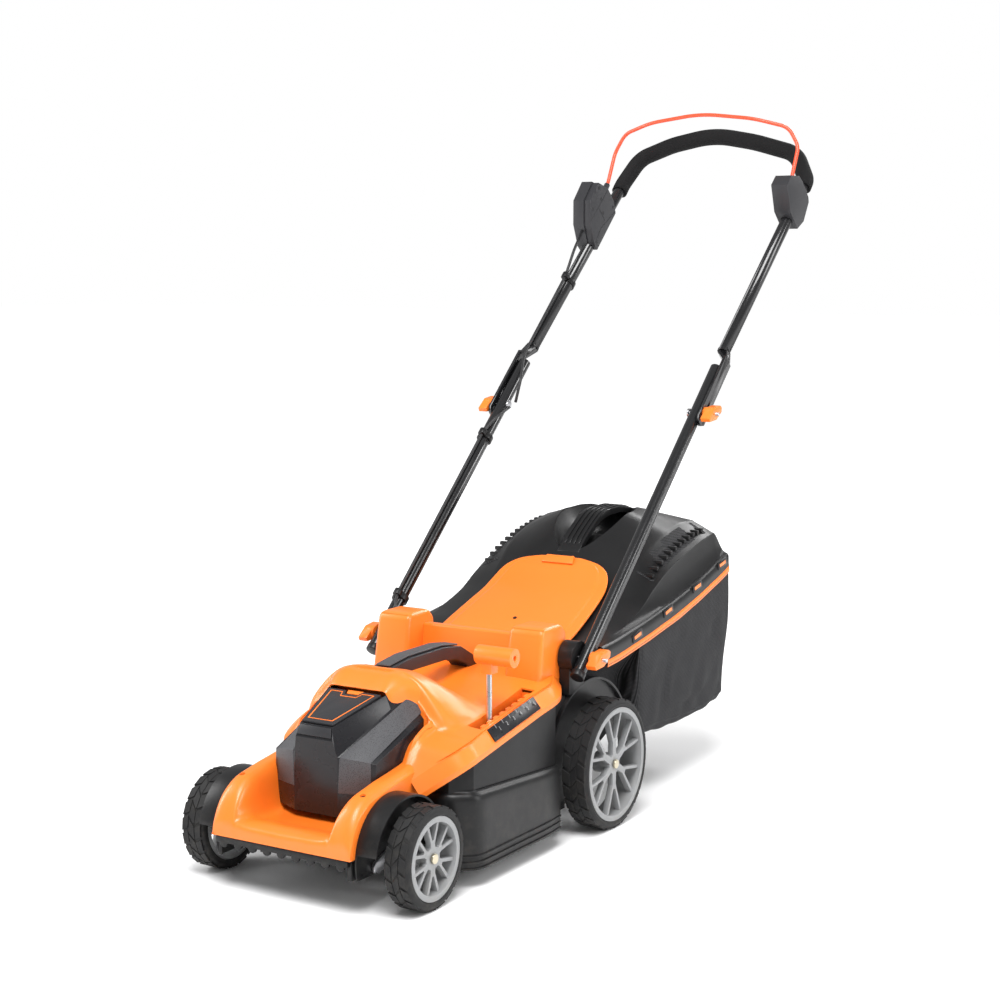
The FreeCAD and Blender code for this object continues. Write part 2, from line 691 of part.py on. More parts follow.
# ---------------------------------------------------------------- rear flap
def flap():
    top = [(434, 265), (516, 294), (597, 325), (640, 352), (668, 378)]
    under = [(670, 374.5), (643, 348.5), (599, 321), (517, 290), (436, 261)]
    profile = top + under
    edge = [(119, 424), (121, 500), (110, 625), (104, 645), (92, 658), (62, 667), (24, 671)]
    plan = edge + [(-x, y) for x, y in edge[::-1]]
    plate = prism_x(profile, -130, 130).common(prism_z(plan, 200, 450))
    knuckles = [rod_x(x, x + 20, flap_hinge[0], flap_hinge[1], 5.5) for x in (-118, -10, 98)]
    arms = [box(x, x + 20, flap_hinge[0] - 2, flap_hinge[0] + 9, flap_hinge[1] - 2,
                flap_hinge[1] + 3) for x in (-118, -10, 98)]
    room = [rod_x(x0, x1, flap_hinge[0], flap_hinge[1], 7.0) for x0, x1 in ((-97.5, -10.5), (10.5, 97.5))]
    return cut(fuse([plate] + knuckles + arms),
               rod_x(-140, 140, flap_hinge[0], flap_hinge[1], 3.0 + running_gap), *room)


save("rear_flap", flap())
save("hinge_pins", rod_x(-133, 133, flap_hinge[0], flap_hinge[1], 3.0), *lid_pins)
spring_x = 40.0
coil = cut(rod_x(spring_x - 12, spring_x + 12, flap_hinge[0], flap_hinge[1], 5.4),
           rod_x(spring_x - 13, spring_x + 13, flap_hinge[0], flap_hinge[1], 3.4))
save("flap_springs", *both(coil))


# ---------------------------------------------------------------- grass box
trim_line = [(464, 253), (525, 258), (627, 273), (734, 292), (809, 310), (895, 334), (927, 345)]
lid_rows = [
    (472.0, [(60, 266), (125, 270), (172, 277)]),
    (560.0, [(60, 302), (112, 299), (172, 293)]),
    (625.0, [(60, 333), (118, 327), (172, 315)]),
    (668.0, [(60, 364), (122, 357), (172, 338)]),
    (716.0, [(60, 405), (128, 388), (172, 360)]),
    (775.0, [(60, 441), (131, 410), (172, 379)]),
    (850.0, [(60, 445), (131, 424), (172, 398)]),
    (898.0, [(60, 431), (131, 423), (172, 404)]),
    (922.0, [(60, 400), (131, 394), (172, 382)]),
]


def box_lid():
    stations, inner = [], []
    for i, (y, half) in enumerate(lid_rows):
        low = between(trim_line, y) + 2.3
        pts = full(list(half) + [(180, low + 24), (190, low + 22), (190, low)])
        stations.append((y, pts))
        shift = wall if i == 0 else (-wall if i == len(lid_rows) - 1 else 0)
        room = inset(pts, wall)
        inner.append((y + shift, [(x, z - 8 if z < low + wall + 1 else z) for x, z in room]))
    shell = cut(loft(stations), loft(inner))
    recess = prism_z(oval(0, 788, 62, 96), 300, 480)
    bowl = prism_z(oval(0, 788, 64.5, 98.5), 330, 470)
    bowl_side = [(680, 338), (800, 393), (895, 393), (895, 432), (850, 444), (775, 439), (716, 403),
                 (680, 376)]
    bowl = bowl.common(prism_x(bowl_side, -80, 80))
    hollow = [(685, 344), (800, 397), (895, 397), (895, 480), (685, 480)]
    bowl = cut(bowl, prism_z(oval(0, 788, 61.5, 95.5), 330, 480).common(prism_x(hollow, -80, 80)))
    bar = prism_x([(680, 372), (716, 402), (775, 439), (850, 444), (892, 433), (892, 424), (848, 431),
                   (782, 426), (725, 392), (690, 364)], -22, 22)
    return fuse([cut(shell, recess), bowl, bar])


def oval(x, y, a, b):
    return [(x + a * math.cos(math.radians(20 * i)),
             y + b * math.sin(math.radians(20 * i))) for i in range(18)]


save("box_lid", box_lid())

bag_rows = [
    (482.0, 120, 138, (143, 234), (186, 239)),
    (596.0, 112, 140, (143, 215), (186, 239)),
    (602.0, 106, 168, (184, 132), (187, 239)),
    (760.0, 99, 172, (188, 126), (188, 239)),
    (905.0, 102, 168, (186, 130), (188, 250)),
    (926.0, 112, 158, (178, 140), (187, 255)),
]


def bag():
    outer, inner = [], []
    for i, (y, low, wide, step, side) in enumerate(bag_rows):
        top = between(trim_line, y) + 1.0
        pts = [(-187, top), (-side[0], side[1]), (-step[0], step[1]), (-wide, low), (wide, low), step, side,
               (187, top)]
        outer.append((y, pts))
        shift = -2 if i == 0 else (-2.5 if i in (2, len(bag_rows) - 1) else 0)
        room = inset(pts, 2.0)
        room[0] = (room[0][0], top + 8)
        room[-1] = (room[-1][0], top + 8)
        inner.append((y + shift, room))
    inner[2] = (bag_rows[2][0] + 2.5, inner[2][1])
    return cut(loft(outer), loft(inner))


save("box_bag", bag())
mouth = cut(box(-142, 142, 474, 481.5, 118, 250), box(-134, 134, 470, 485, 126, 242))
hooks = [box(x, x + 14, 475.4, 480, 249, 262) for x in (-120, 106)]
save("box_mouth_frame", fuse([mouth] + hooks))


# ---------------------------------------------------------------- handle
slope = math.radians(handle_slope_deg)


def along(pivot, s, n=0.0):
    """a point s along the handle from a pivot and n square to it, towards the front"""
    return (pivot[0] + s * math.cos(slope) - n * math.sin(slope),
            pivot[1] + s * math.sin(slope) + n * math.cos(slope))


def bar_along(x, pivot, s0, s1, r):
    a = along(pivot, s0)
    return Part.makeCylinder(r, s1 - s0, V(x, a[0], a[1]), V(0, math.cos(slope), math.sin(slope)))


handle_gap = math.hypot(upper_pivot[0] - lower_pivot[0], upper_pivot[1] - lower_pivot[1])
lower_tube = cut(bar_along(tube_x, lower_pivot, -36, handle_gap + 104, tube_radius),
                 bar_along(tube_x, lower_pivot, -37, handle_gap + 105, tube_radius - tube_wall),
                 rod_x(150, 230, lower_pivot[0], lower_pivot[1], 3.1),
                 rod_x(150, 230, upper_pivot[0], upper_pivot[1], 3.0))
save("lower_tubes", *both(lower_tube))
bracket = fuse([rod_x(154.2, 178.3, lower_pivot[0], lower_pivot[1], 25),
                prism_x([(396.5, 216), (444, 216), (438, 272), (396.5, 272)], 154.2, 172)])
bracket = largest(cut(bracket, rod_x(150, 190, lower_pivot[0], lower_pivot[1], 3.0), deck))
save("handle_brackets", *both(bracket))

lower_bolts = both(rod_x(154.2, 226, lower_pivot[0], lower_pivot[1], 3.0))
upper_bolt = fuse([rod_x(176.5, 231, upper_pivot[0], upper_pivot[1], 3.0),
                   rod_x(174.5, 177.5, upper_pivot[0], upper_pivot[1], 7.5)])
save("upper_pivot_bolts", *both(upper_bolt))


def wing_knob(pivot, x0):
    hub = rod_x(x0, x0 + 12, pivot[0], pivot[1], 11)
    wings = prism_x([(pivot[0] - 24, pivot[1] - 6), (pivot[0] - 21, pivot[1] - 12),
                     (pivot[0] + 4, pivot[1] - 10),
                     (pivot[0] + 23, pivot[1] + 2), (pivot[0] + 24, pivot[1] + 9),
                     (pivot[0] + 18, pivot[1] + 13),
                     (pivot[0] - 4, pivot[1] + 10)], x0 + 3, x0 + 19)
    hole = rod_x(x0 - 1, x0 + 30, pivot[0], pivot[1], 3.0 + running_gap)
    return cut(fuse([hub, wings]), hole)


lower_knob_x = tube_x + tube_radius + 0.6
lug_thickness = 5.0
upper_lug_x = tube_x + tube_radius + 0.5
upper_knob_x = upper_lug_x + lug_thickness + 0.5
for where, pivot, x0 in (("lower", lower_pivot, lower_knob_x), ("upper", upper_pivot, upper_knob_x)):
    knob = wing_knob(pivot, x0)
    save(where + "_knob_right", knob)
    save(where + "_knob_left", mirror(knob))


def upper_lug():
    centre_start, centre_end = -24.0, 122.0
    corners = [along(upper_pivot, centre_start + 8, 13), along(upper_pivot, centre_start, 5),
               along(upper_pivot, centre_start, -5),
               along(upper_pivot, centre_start + 8, -13), along(upper_pivot, centre_end, -13),
               along(upper_pivot, centre_end, 13)]
    plate = prism_x(corners, upper_lug_x, upper_lug_x + lug_thickness)
    neck_pts = [(upper_lug_x, 116), (upper_lug_x + lug_thickness, 116), (upper_lug_x + lug_thickness, 124),
                (tube_x + tube_radius - 1.5, 146), (tube_x - tube_radius + 2, 146),
                (tube_x - tube_radius + 2, 138)]
    flat = []
    for n in (-7.5, 7.5):
        flat.append(Part.makePolygon([V(x, *along(upper_pivot, s, n)) for x, s in neck_pts + neck_pts[:1]]))
    neck = Part.makeLoft(flat, True, True)
    return cut(fuse([plate, neck]), rod_x(190, 230, upper_pivot[0], upper_pivot[1], 3.0 + running_gap))


tube_start = along(upper_pivot, 140)
u_route = [(tube_x, tube_start[0], tube_start[1]), (190, 1231, 1019), (162, 1250, 1068), (85, 1237, 1091),
           (0, 1239, 1107),
           (-85, 1237, 1091), (-162, 1250, 1068), (-190, 1231, 1019),
           (-tube_x, tube_start[0], tube_start[1])]
u_bends = [32, 42, 150, 200, 150, 42, 32]
u_solid = pipe(u_route, tube_radius, u_bends)
u_tube = cut(u_solid, pipe(u_route, tube_radius - tube_wall, u_bends))
lugs = both(upper_lug())
save("upper_tube", u_tube, *[cut(x, u_solid) for x in lugs])


def grip_foam():
    a = (190, 1217, 1004.5)
    route = [a] + u_route[1:-1] + [(-a[0], a[1], a[2])]
    bends = [26, 42, 150, 200, 150, 42, 26]
    return cut(pipe(route, 15.0, bends), u_solid)


foam = largest(grip_foam())
save("foam_grip", foam)

switch_profile = [(1069, 984), (1101, 1020), (1138, 1011), (1163, 988), (1172, 962), (1098, 890),
                  (1086, 900),
                  (1069, 940)]
switch_back = cut(prism_x(switch_profile, -208, -186), u_solid)
switch_front = cut(prism_x(inset(switch_profile, 2.0), -185.7, -172), u_solid)


def bail_slot(x0, x1):
    """the swept space of the bail's foot inside its housing"""
    return prism_x([(bail_pivot[0] - 11, bail_pivot[1] - 11), (bail_pivot[0] + 22, bail_pivot[1] - 11),
                    (bail_pivot[0] + 75, bail_pivot[1] + 42), (bail_pivot[0] + 5, bail_pivot[1] + 62)], x0,
                   x1)


button_bore = rod_x(-215, -196, 1100, 975, 8.3)
switch_back = cut(switch_back, bail_slot(-197, -180), button_bore)
switch_front = cut(switch_front, bail_slot(-197, -180))
cable_x = -187.0


def cable_point(pivot, s, n=15.0, x=cable_x):
    p = along(pivot, s, n)
    return (x, p[0], p[1])


upper_cable = pipe([(-192, 1076, 930), cable_point(upper_pivot, 366, 28), cable_point(upper_pivot, 312),
                    cable_point(upper_pivot, 110), cable_point(upper_pivot, 50, 17, -166),
                    (-164.5, *along(upper_pivot, 6, 1))], 2.6, [30, 60, 120, 30])
save("switch_box_back", largest(cut(switch_back, upper_cable)))
switch_front = fuse([switch_front, rod_x(-196, -179, bail_pivot[0], bail_pivot[1], 2.0)])
save("switch_box_front", switch_front)
save("lock_button", rod_x(-213, -200, 1100, 975, 8.0))
holder_profile = [(1110, 1006), (1129, 1023), (1165, 1023), (1180, 1014), (1208, 987), (1210, 978),
                  (1188, 943),
                  (1160, 929), (1126, 959)]
holder = cut(prism_x(holder_profile, 174, 205), u_solid, bail_slot(180, 197), foam)
holder = fuse([largest(holder), rod_x(179, 198, bail_pivot[0], bail_pivot[1], 2.0)])
save("bail_holder", holder)

bail_x = 188.5
bail_route = [(bail_x, bail_pivot[0] + 4, bail_pivot[1] + 5), (bail_x, 1168, 1020), (bail_x, 1196, 1078),
              (168, 1198, 1113), (105, 1181, 1130),
              (0, 1180, 1142.5), (-105, 1181, 1130), (-168, 1198, 1113), (-bail_x, 1196, 1078),
              (-bail_x, 1168, 1020),
              (-bail_x, bail_pivot[0] + 4, bail_pivot[1] + 5)]
bail_bends = [40, 34, 34, 150, 300, 150, 34, 34, 40]
bail = pipe(bail_route, 3.4, bail_bends)
feet = [cut(rod_x(bail_x - 5, bail_x + 5, bail_pivot[0], bail_pivot[1], 7.5),
            rod_x(bail_x - 6, bail_x + 6, bail_pivot[0], bail_pivot[1], 2.0 + running_gap))]
foot_hole = rod_x(bail_x - 6, bail_x + 6, bail_pivot[0], bail_pivot[1], 7.4)
save("bail_rod", cut(bail, foot_hole, mirror(foot_hole)), *both(feet[0]))


# ---------------------------------------------------------------- cable and clips
def tube_clip(x, pivot, s, drop=0.0):
    """a ring round the tube with an ear for the cable"""
    ring = bar_shift(x, pivot, s, -drop, tube_radius + 3)
    return fuse([ring, bar_shift(math.copysign(187.0, x), pivot, s, 15, 7.0)])


def bar_shift(x, pivot, s, n, r):
    a = along(pivot, s - 5, n)
    return Part.makeCylinder(r, 10, V(x, a[0], a[1]), V(0, math.cos(slope), math.sin(slope)))


save("cable_upper", upper_cable)
lower_cable = pipe([(-171.5, *along(upper_pivot, -6, 1)), cable_point(upper_pivot, -46, 15, -177),
                    cable_point(upper_pivot, -80), cable_point(lower_pivot, 72),
                    cable_point(lower_pivot, 48, 17, -179), (-168, 434, 304), (-156, 413, 304)],
                   2.6, [18, 60, 40, 22, 12])
save("cable_lower", lower_cable)
straight = bar_along(-tube_x, lower_pivot, 0, handle_gap, tube_radius)
low_clips = [tube_clip(-tube_x, lower_pivot, 72), tube_clip(-tube_x, upper_pivot, -80)]
save("cable_clips_lower", *[cut(x, straight, lower_cable) for x in low_clips])
save("cable_clip_upper", cut(tube_clip(-189.5, upper_pivot, 312, 4.8), u_solid, upper_cable))


# ---------------------------------------------------------------- screws
screws = []
for s in (1, -1):
    for x, y, z in ((104, -42, 152), (160, 330, 236)):
        screws.append(cut(rod_z(s * x, y, z, z + 2.5, 4.0),
                          box(s * x - 3, s * x + 3, y - 0.6, y + 0.6, z + 1.2, z + 4)))
save("bolts_and_screws", *(lower_bolts + [x.cut(cover) for x in screws]))
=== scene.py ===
import json
import math
import random
import bmesh
import bpy
from mathutils import Matrix, Vector
from mathutils.bvhtree import BVHTree


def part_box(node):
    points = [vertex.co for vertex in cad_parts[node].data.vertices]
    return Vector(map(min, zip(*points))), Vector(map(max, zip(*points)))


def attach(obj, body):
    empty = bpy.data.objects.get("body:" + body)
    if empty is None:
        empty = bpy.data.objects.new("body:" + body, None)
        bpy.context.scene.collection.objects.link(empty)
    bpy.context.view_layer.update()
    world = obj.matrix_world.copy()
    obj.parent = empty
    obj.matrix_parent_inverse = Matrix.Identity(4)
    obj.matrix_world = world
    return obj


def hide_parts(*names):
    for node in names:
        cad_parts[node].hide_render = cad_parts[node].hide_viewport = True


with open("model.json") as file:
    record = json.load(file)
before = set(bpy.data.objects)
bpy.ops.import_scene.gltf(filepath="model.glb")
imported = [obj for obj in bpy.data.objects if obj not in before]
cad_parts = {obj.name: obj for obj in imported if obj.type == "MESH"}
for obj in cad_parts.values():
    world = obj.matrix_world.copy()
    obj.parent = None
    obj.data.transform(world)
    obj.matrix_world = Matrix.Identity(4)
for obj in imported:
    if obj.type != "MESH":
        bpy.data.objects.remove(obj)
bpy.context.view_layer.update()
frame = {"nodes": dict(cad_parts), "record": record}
nodes = frame["nodes"]
bodyOf = {n: b for b, names in frame["record"]["behaviour"]["bodies"].items() for n in names}
scene = bpy.context.scene
print("frame loaded")

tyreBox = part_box("front_tyre_right")
frontAxleY = (tyreBox[0].y + tyreBox[1].y) / 2
mm = 0.001


def at(x, y, z):
    return Vector((x * mm, frontAxleY + y * mm, z * mm))  # y counted from the front wheels' axis


# camera
def aim(obj, back):
    right = Vector((-back.y, back.x, 0)).normalized()
    up = back.cross(right)
    obj.matrix_world = obj.matrix_world.to_3x3().to_4x4()
    m = obj.matrix_world.copy()
    for i in range(3):
        m[i][0], m[i][1], m[i][2] = right[i], up[i], back[i]
    place = obj["place"]
    m[0][3], m[1][3], m[2][3] = place
    obj.matrix_world = m


view = {"place": (1560.3, -2036.1, 860.7), "back": (0.5239, -0.8429, 0.1227), "lens": 67.83}
cameraData = bpy.data.cameras.new("camera")
cameraData.lens = view["lens"]
cameraData.sensor_width = 36
cameraData.clip_end = 50
camera = bpy.data.objects.new("camera", cameraData)
scene.collection.objects.link(camera)
camera["place"] = list(at(*view["place"]))
aim(camera, Vector(view["back"]).normalized())
scene.camera = camera
print("camera set")


# shader groups
class Tree:
    def __init__(self, tree):
        self.tree = tree

    def node(self, kind, **values):
        n = self.tree.nodes.new(kind)
        for key, value in values.items():
            setattr(n, key, value)
        return n

    def link(self, a, b):
        self.tree.links.new(a, b)

    def mathNode(self, operation, a, b=None, c=None):
        n = self.node("ShaderNodeMath", operation=operation)
        for i, v in enumerate((a, b, c)):
            if v is None:
                continue
            if isinstance(v, (int, float)):
                n.inputs[i].default_value = v
            else:
                self.link(v, n.inputs[i])
        return n.outputs[0]

    def noise(self, vector, scale, detail=3.0, rough=0.55):
        n = self.node("ShaderNodeTexNoise")
        self.link(vector, n.inputs["Vector"])
        n.inputs["Scale"].default_value = scale
        n.inputs["Detail"].default_value = detail
        n.inputs["Roughness"].default_value = rough
        return n.outputs[0]

    def span(self, value, a, b, c, d):
        n = self.node("ShaderNodeMapRange")
        self.link(value, n.inputs["Value"])
        for key, v in zip(("From Min", "From Max", "To Min", "To Max"), (a, b, c, d)):
            n.inputs[key].default_value = v
        return n.outputs[0]

    def mix(self, factor, a, b, blend="MIX"):
        n = self.node("ShaderNodeMix", data_type="RGBA", blend_type=blend)
        for socket, v in ((n.inputs[0], factor), (n.inputs[6], a), (n.inputs[7], b)):
            if hasattr(v, "is_output"):
                self.link(v, socket)
            elif isinstance(v, tuple):
                socket.default_value = (*v, 1.0)
            else:
                socket.default_value = v
        return n.outputs[2]


def surfaceGroup():  # soft unevenness, fine grain and low dust, for moulded and painted finishes
    tree = bpy.data.node_groups.new("mouldedSkin", "ShaderNodeTree")
    face = tree.interface
    for name, kind, value in (("Colour", "NodeSocketColor", (0.5, 0.5, 0.5, 1)),
                              ("Roughness", "NodeSocketFloat", 0.4),
                              ("Unevenness", "NodeSocketFloat", 0.04), ("Grain", "NodeSocketFloat", 900.0),
                              ("Grain Depth", "NodeSocketFloat", 0.1), ("Dust", "NodeSocketFloat", 0.1)):
        socket = face.new_socket(name=name, in_out="INPUT", socket_type=kind)
        socket.default_value = value
    for name, kind in (("Colour", "NodeSocketColor"), ("Roughness", "NodeSocketFloat"),
                       ("Normal", "NodeSocketVector")):
        face.new_socket(name=name, in_out="OUTPUT", socket_type=kind)
    t = Tree(tree)
    given = t.node("NodeGroupInput")
    out = t.node("NodeGroupOutput")
    place = t.node("ShaderNodeTexCoord").outputs["Object"]
    broad = t.noise(place, 9.0, 4.0)
    fine = t.node("ShaderNodeTexNoise")
    t.link(place, fine.inputs["Vector"])
    t.link(given.outputs["Grain"], fine.inputs["Scale"])
    fine.inputs["Detail"].default_value = 2.0
    shade = t.mathNode("MULTIPLY_ADD", t.mathNode("SUBTRACT", broad, 0.5), given.outputs["Unevenness"], 1.0)
    toned = t.node("ShaderNodeVectorMath", operation="SCALE")
    t.link(given.outputs["Colour"], toned.inputs[0])
    t.link(shade, toned.inputs["Scale"])
    height = t.node("ShaderNodeSeparateXYZ")
    t.link(place, height.inputs[0])
    low = t.span(height.outputs["Z"], 0.16, 0.0, 0.0, 1.0)
    specks = t.span(t.noise(place, 60.0, 5.0, 0.7), 0.45, 0.75, 0.0, 1.0)
    dust = t.mathNode("MULTIPLY", t.mathNode("MULTIPLY", low, specks), given.outputs["Dust"])
    coloured = t.mix(dust, toned.outputs[0], (0.35, 0.31, 0.25))
    rough = t.mathNode("MULTIPLY_ADD", t.mathNode("SUBTRACT", t.noise(place, 35.0), 0.5), 0.16,
                       given.outputs["Roughness"])
    bump = t.node("ShaderNodeBump")
    bump.inputs["Distance"].default_value = 0.0006
    t.link(given.outputs["Grain Depth"], bump.inputs["Strength"])
    t.link(fine.outputs[0], bump.inputs["Height"])
    t.link(coloured, out.inputs["Colour"])
    t.link(t.mathNode("ADD", rough, t.mathNode("MULTIPLY", dust, 0.3)), out.inputs["Roughness"])
    t.link(bump.outputs[0], out.inputs["Normal"])
    return tree


mouldedSkin = surfaceGroup()


def finish(name, colour, roughness=0.4, unevenness=0.08, grain=900.0, depth=0.1, dust=0.15, metallic=0.0,
           coat=0.0,
           shine=0.5, pattern=None):
    material = bpy.data.materials.new(name)
    material.use_nodes = True
    material.diffuse_color = (*colour, 1)
    t = Tree(material.node_tree)
    shader = material.node_tree.nodes["Principled BSDF"]
    group = t.node("ShaderNodeGroup", node_tree=mouldedSkin)
    group.inputs["Colour"].default_value = (*colour, 1)
    for key, value in (("Roughness", roughness), ("Unevenness", unevenness), ("Grain", grain),
                       ("Grain Depth", depth),
                       ("Dust", dust)):
        group.inputs[key].default_value = value
    if pattern:
        pattern(t, group, colour)
    t.link(group.outputs["Colour"], shader.inputs["Base Color"])
    t.link(group.outputs["Roughness"], shader.inputs["Roughness"])
    t.link(group.outputs["Normal"], shader.inputs["Normal"])
    shader.inputs["Metallic"].default_value = metallic
    shader.inputs["Coat Weight"].default_value = coat
    shader.inputs["Specular IOR Level"].default_value = shine
    shader.inputs["Coat Roughness"].default_value = 0.12
    return material


def specklePattern(t, group, colour):
    place = t.node("ShaderNodeTexCoord").outputs["Object"]
    cells = t.node("ShaderNodeTexVoronoi")
    t.link(place, cells.inputs["Vector"])
    cells.inputs["Scale"].default_value = 620.0
    dots = t.span(cells.outputs["Distance"], 0.22, 0.36, 1.0, 0.0)
    t.link(t.mix(dots, colour, (0.02, 0.02, 0.022)), group.inputs["Colour"])


def weavePattern(t, group, colour):
    place = t.node("ShaderNodeTexCoord").outputs["Object"]
    bands = []
    for axis in ("Y", "Z"):
        wave = t.node("ShaderNodeTexWave", bands_direction=axis)
        t.link(place, wave.inputs["Vector"])
        wave.inputs["Scale"].default_value = 150.0
        wave.inputs["Distortion"].default_value = 0.3
        bands.append(wave.outputs[1])
    mesh = t.mathNode("MULTIPLY", bands[0], bands[1])
    t.link(t.mix(mesh, colour, (0.09, 0.09, 0.095)), group.inputs["Colour"])


def brushedPattern(t, group, colour):
    place = t.node("ShaderNodeTexCoord").outputs["Object"]
    squeeze = t.node("ShaderNodeMapping")
    t.link(place, squeeze.inputs["Vector"])
    squeeze.inputs["Scale"].default_value = (40.0, 1500.0, 1500.0)
    lines = t.span(t.noise(squeeze.outputs[0], 1.0), 0.3, 0.7, 0.75, 1.1)
    toned = t.node("ShaderNodeVectorMath", operation="SCALE")
    toned.inputs[0].default_value = colour
    t.link(lines, toned.inputs["Scale"])
    t.link(toned.outputs[0], group.inputs["Colour"])


orange = (0.95, 0.205, 0.018)
looks = {
    "black_body": finish("deckBlack", (0.009, 0.009, 0.0095), 0.36, 0.2, 700, 0.12, 0.08, shine=0.28),
    "orange_body": finish("shellOrange", orange, 0.36, 0.05, 1100, 0.08, 0.08, coat=0.12),
    "black_gloss": finish("hoodBlack", (0.013, 0.013, 0.015), 0.27, 0.1, 1200, 0.05, 0.0, shine=0.3),
    "grey_panel": finish("speckledGrey", (0.075, 0.075, 0.08), 0.5, 0.1, 900, 0.2, 0.0, shine=0.3,
                         pattern=specklePattern),
    "dark_grey": finish("handleGrey", (0.026, 0.026, 0.029), 0.42, 0.12, 900, 0.16, 0.0, shine=0.35),
    "rim_grey": finish("rimGrey", (0.27, 0.275, 0.28), 0.42, 0.06, 800, 0.1, 0.25),
    "tread": finish("tyreBlack", (0.011, 0.011, 0.0115), 0.6, 0.3, 500, 0.25, 0.12, shine=0.3),
    "steel": finish("drawnSteel", (0.62, 0.62, 0.64), 0.3, 0.1, 900, 0.05, 0.0, 1.0, pattern=brushedPattern),
    "nut_steel": finish("yellowSteel", (0.62, 0.56, 0.42), 0.3, 0.2, 700, 0.1, 0.0, 1.0),
    "black_tube": finish("tubeBlack", (0.008, 0.008, 0.009), 0.2, 0.1, 300, 0.02, 0.0, coat=0.3),
    "orange_rod": finish("bailOrange", (0.74, 0.075, 0.025), 0.35, 0.08, 500, 0.03, 0.0),
    "foam": finish("gripFoam", (0.009, 0.009, 0.0095), 0.85, 0.3, 350, 0.6, 0.0, shine=0.2),
    "bag": finish("bagFabric", (0.007, 0.007, 0.0075), 0.75, 0.3, 500, 0.4, 0.03, shine=0.2,
                  pattern=weavePattern),
    "board": finish("boardGreen", (0.02, 0.12, 0.05), 0.35, 0.1, 700, 0.1, 0.0),
    "motor_metal": finish("castGrey", (0.5, 0.5, 0.52), 0.45, 0.2, 600, 0.3, 0.0, 1.0),
    "cable_skin": finish("cableBlack", (0.015, 0.015, 0.016), 0.5, 0.1, 900, 0.1, 0.0),
    "red_part": finish("releaseRed", (0.5, 0.02, 0.015), 0.4, 0.05, 900, 0.1, 0.0),
}
slotOf = {s["node"]: s["material_slot"] for s in frame["record"]["subparts"]}
print("finishes made")


# shared mesh work
def newObject(name, mesh, slot, body, *standsFor):
    obj = bpy.data.objects.new(name, mesh)
    scene.collection.objects.link(obj)
    mesh.materials.clear()
    mesh.materials.append(looks[slot])
    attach(obj, body)
    if standsFor:
        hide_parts(*standsFor)


def smooth(mesh, degrees=40):
    for p in mesh.polygons:
        p.use_smooth = True
    mesh.set_sharp_from_angle(angle=math.radians(degrees))


def applied(obj):
    graph = bpy.context.evaluated_depsgraph_get()
    graph.update()
    mesh = bpy.data.meshes.new_from_object(obj.evaluated_get(graph))
    obj.modifiers.clear()
    return mesh


def scratch(mesh):
    obj = bpy.data.objects.new("scratch", mesh)
    scene.collection.objects.link(obj)
    return obj


def discard(obj):
    bpy.data.objects.remove(obj)


def bevelled(mesh, width, segments, limit, degrees=40):
    obj = scratch(mesh)
    bevel = obj.modifiers.new("edges", "BEVEL")
    bevel.width = width * mm
    bevel.segments = segments
    bevel.limit_method = "ANGLE"
    bevel.angle_limit = math.radians(limit)
    out = applied(obj)
    discard(obj)
    smooth(out, degrees)
    return out


def refine(node, width, segments=2, limit=30, degrees=40):  # the frame's piece with its edges rounded
    mesh = nodes[node].data.copy()
    bm = bmesh.new()
    bm.from_mesh(mesh)
    bmesh.ops.remove_doubles(bm, verts=bm.verts, dist=1e-5)
    if width:
        bmesh.ops.dissolve_limit(bm, angle_limit=math.radians(0.8), verts=bm.verts, edges=bm.edges)
    bm.to_mesh(mesh)
    bm.free()
    if width:
        mesh = bevelled(mesh, width, segments, limit, degrees)
    smooth(mesh, degrees)
    newObject(node + "Look", mesh, slotOf[node], bodyOf[node], node)


def bmToMesh(bm, name, degrees=0):
    mesh = bpy.data.meshes.new(name)
    bmesh.ops.recalc_face_normals(bm, faces=bm.faces)
    bm.to_mesh(mesh)
    bm.free()
    if degrees:
        smooth(mesh, degrees)
    return mesh


def capped(low, high):  # a closed body between two rings of points, and its two ends
    bm = bmesh.new()
    low, high = [[bm.verts.new(p) for p in ring] for ring in (low, high)]
    ends = [bm.faces.new(low[::-1]), bm.faces.new(high)]
    for i in range(len(low)):
        j = (i + 1) % len(low)
        bm.faces.new((low[i], low[j], high[j], high[i]))
    return bm, ends


def soften(bm, edges, width, segments):
    bmesh.ops.bevel(bm, geom=list(edges), offset=width * mm, segments=segments, affect="EDGES", profile=0.5)


def prism(outline, depth, width=0.0, segments=2):  # outline in metres, depth a vector, width in mm
    bm, _ = capped(outline, [Vector(p) + Vector(depth) for p in outline])
    if width:
        soften(bm, bm.edges, width, segments)
    return bmToMesh(bm, "prism", 40)


def joined(meshes):
    bm = bmesh.new()
    for mesh in meshes:
        bm.from_mesh(mesh)
    out = bpy.data.meshes.new("joined")
    bm.to_mesh(out)
    bm.free()
    return out


def curve(points, u):  # a smooth curve through the points; u is 0 at the first, 1 at the next
    i = min(int(u), len(points) - 2)
    f = u - i
    p0, p1, p2, p3 = (points[max(0, min(len(points) - 1, i + k))] for k in (-1, 0, 1, 2))
    a = -0.5 * f + f * f - 0.5 * f ** 3
    b = 1 - 2.5 * f * f + 1.5 * f ** 3
    c = 0.5 * f + 2 * f * f - 1.5 * f ** 3
    d = -0.5 * f * f + 0.5 * f ** 3
    return [a * q0 + b * q1 + c * q2 + d * q3 for q0, q1, q2, q3 in zip(p0, p1, p2, p3)]


def reading(table, y):
    for (y0, v0), (y1, v1) in zip(table, table[1:]):
        if y <= y1:
            return v0 + (v1 - v0) * (y - y0) / (y1 - y0)
    return table[-1][1]


def webbed(bm, verts, closed=False):  # faces between rows of points
    for r0, r1 in zip(verts, verts[1:]):
        for k in range(len(r0) if closed else len(r0) - 1):
            j = (k + 1) % len(r0)
            bm.faces.new((r0[k], r0[j], r1[j], r1[k]))


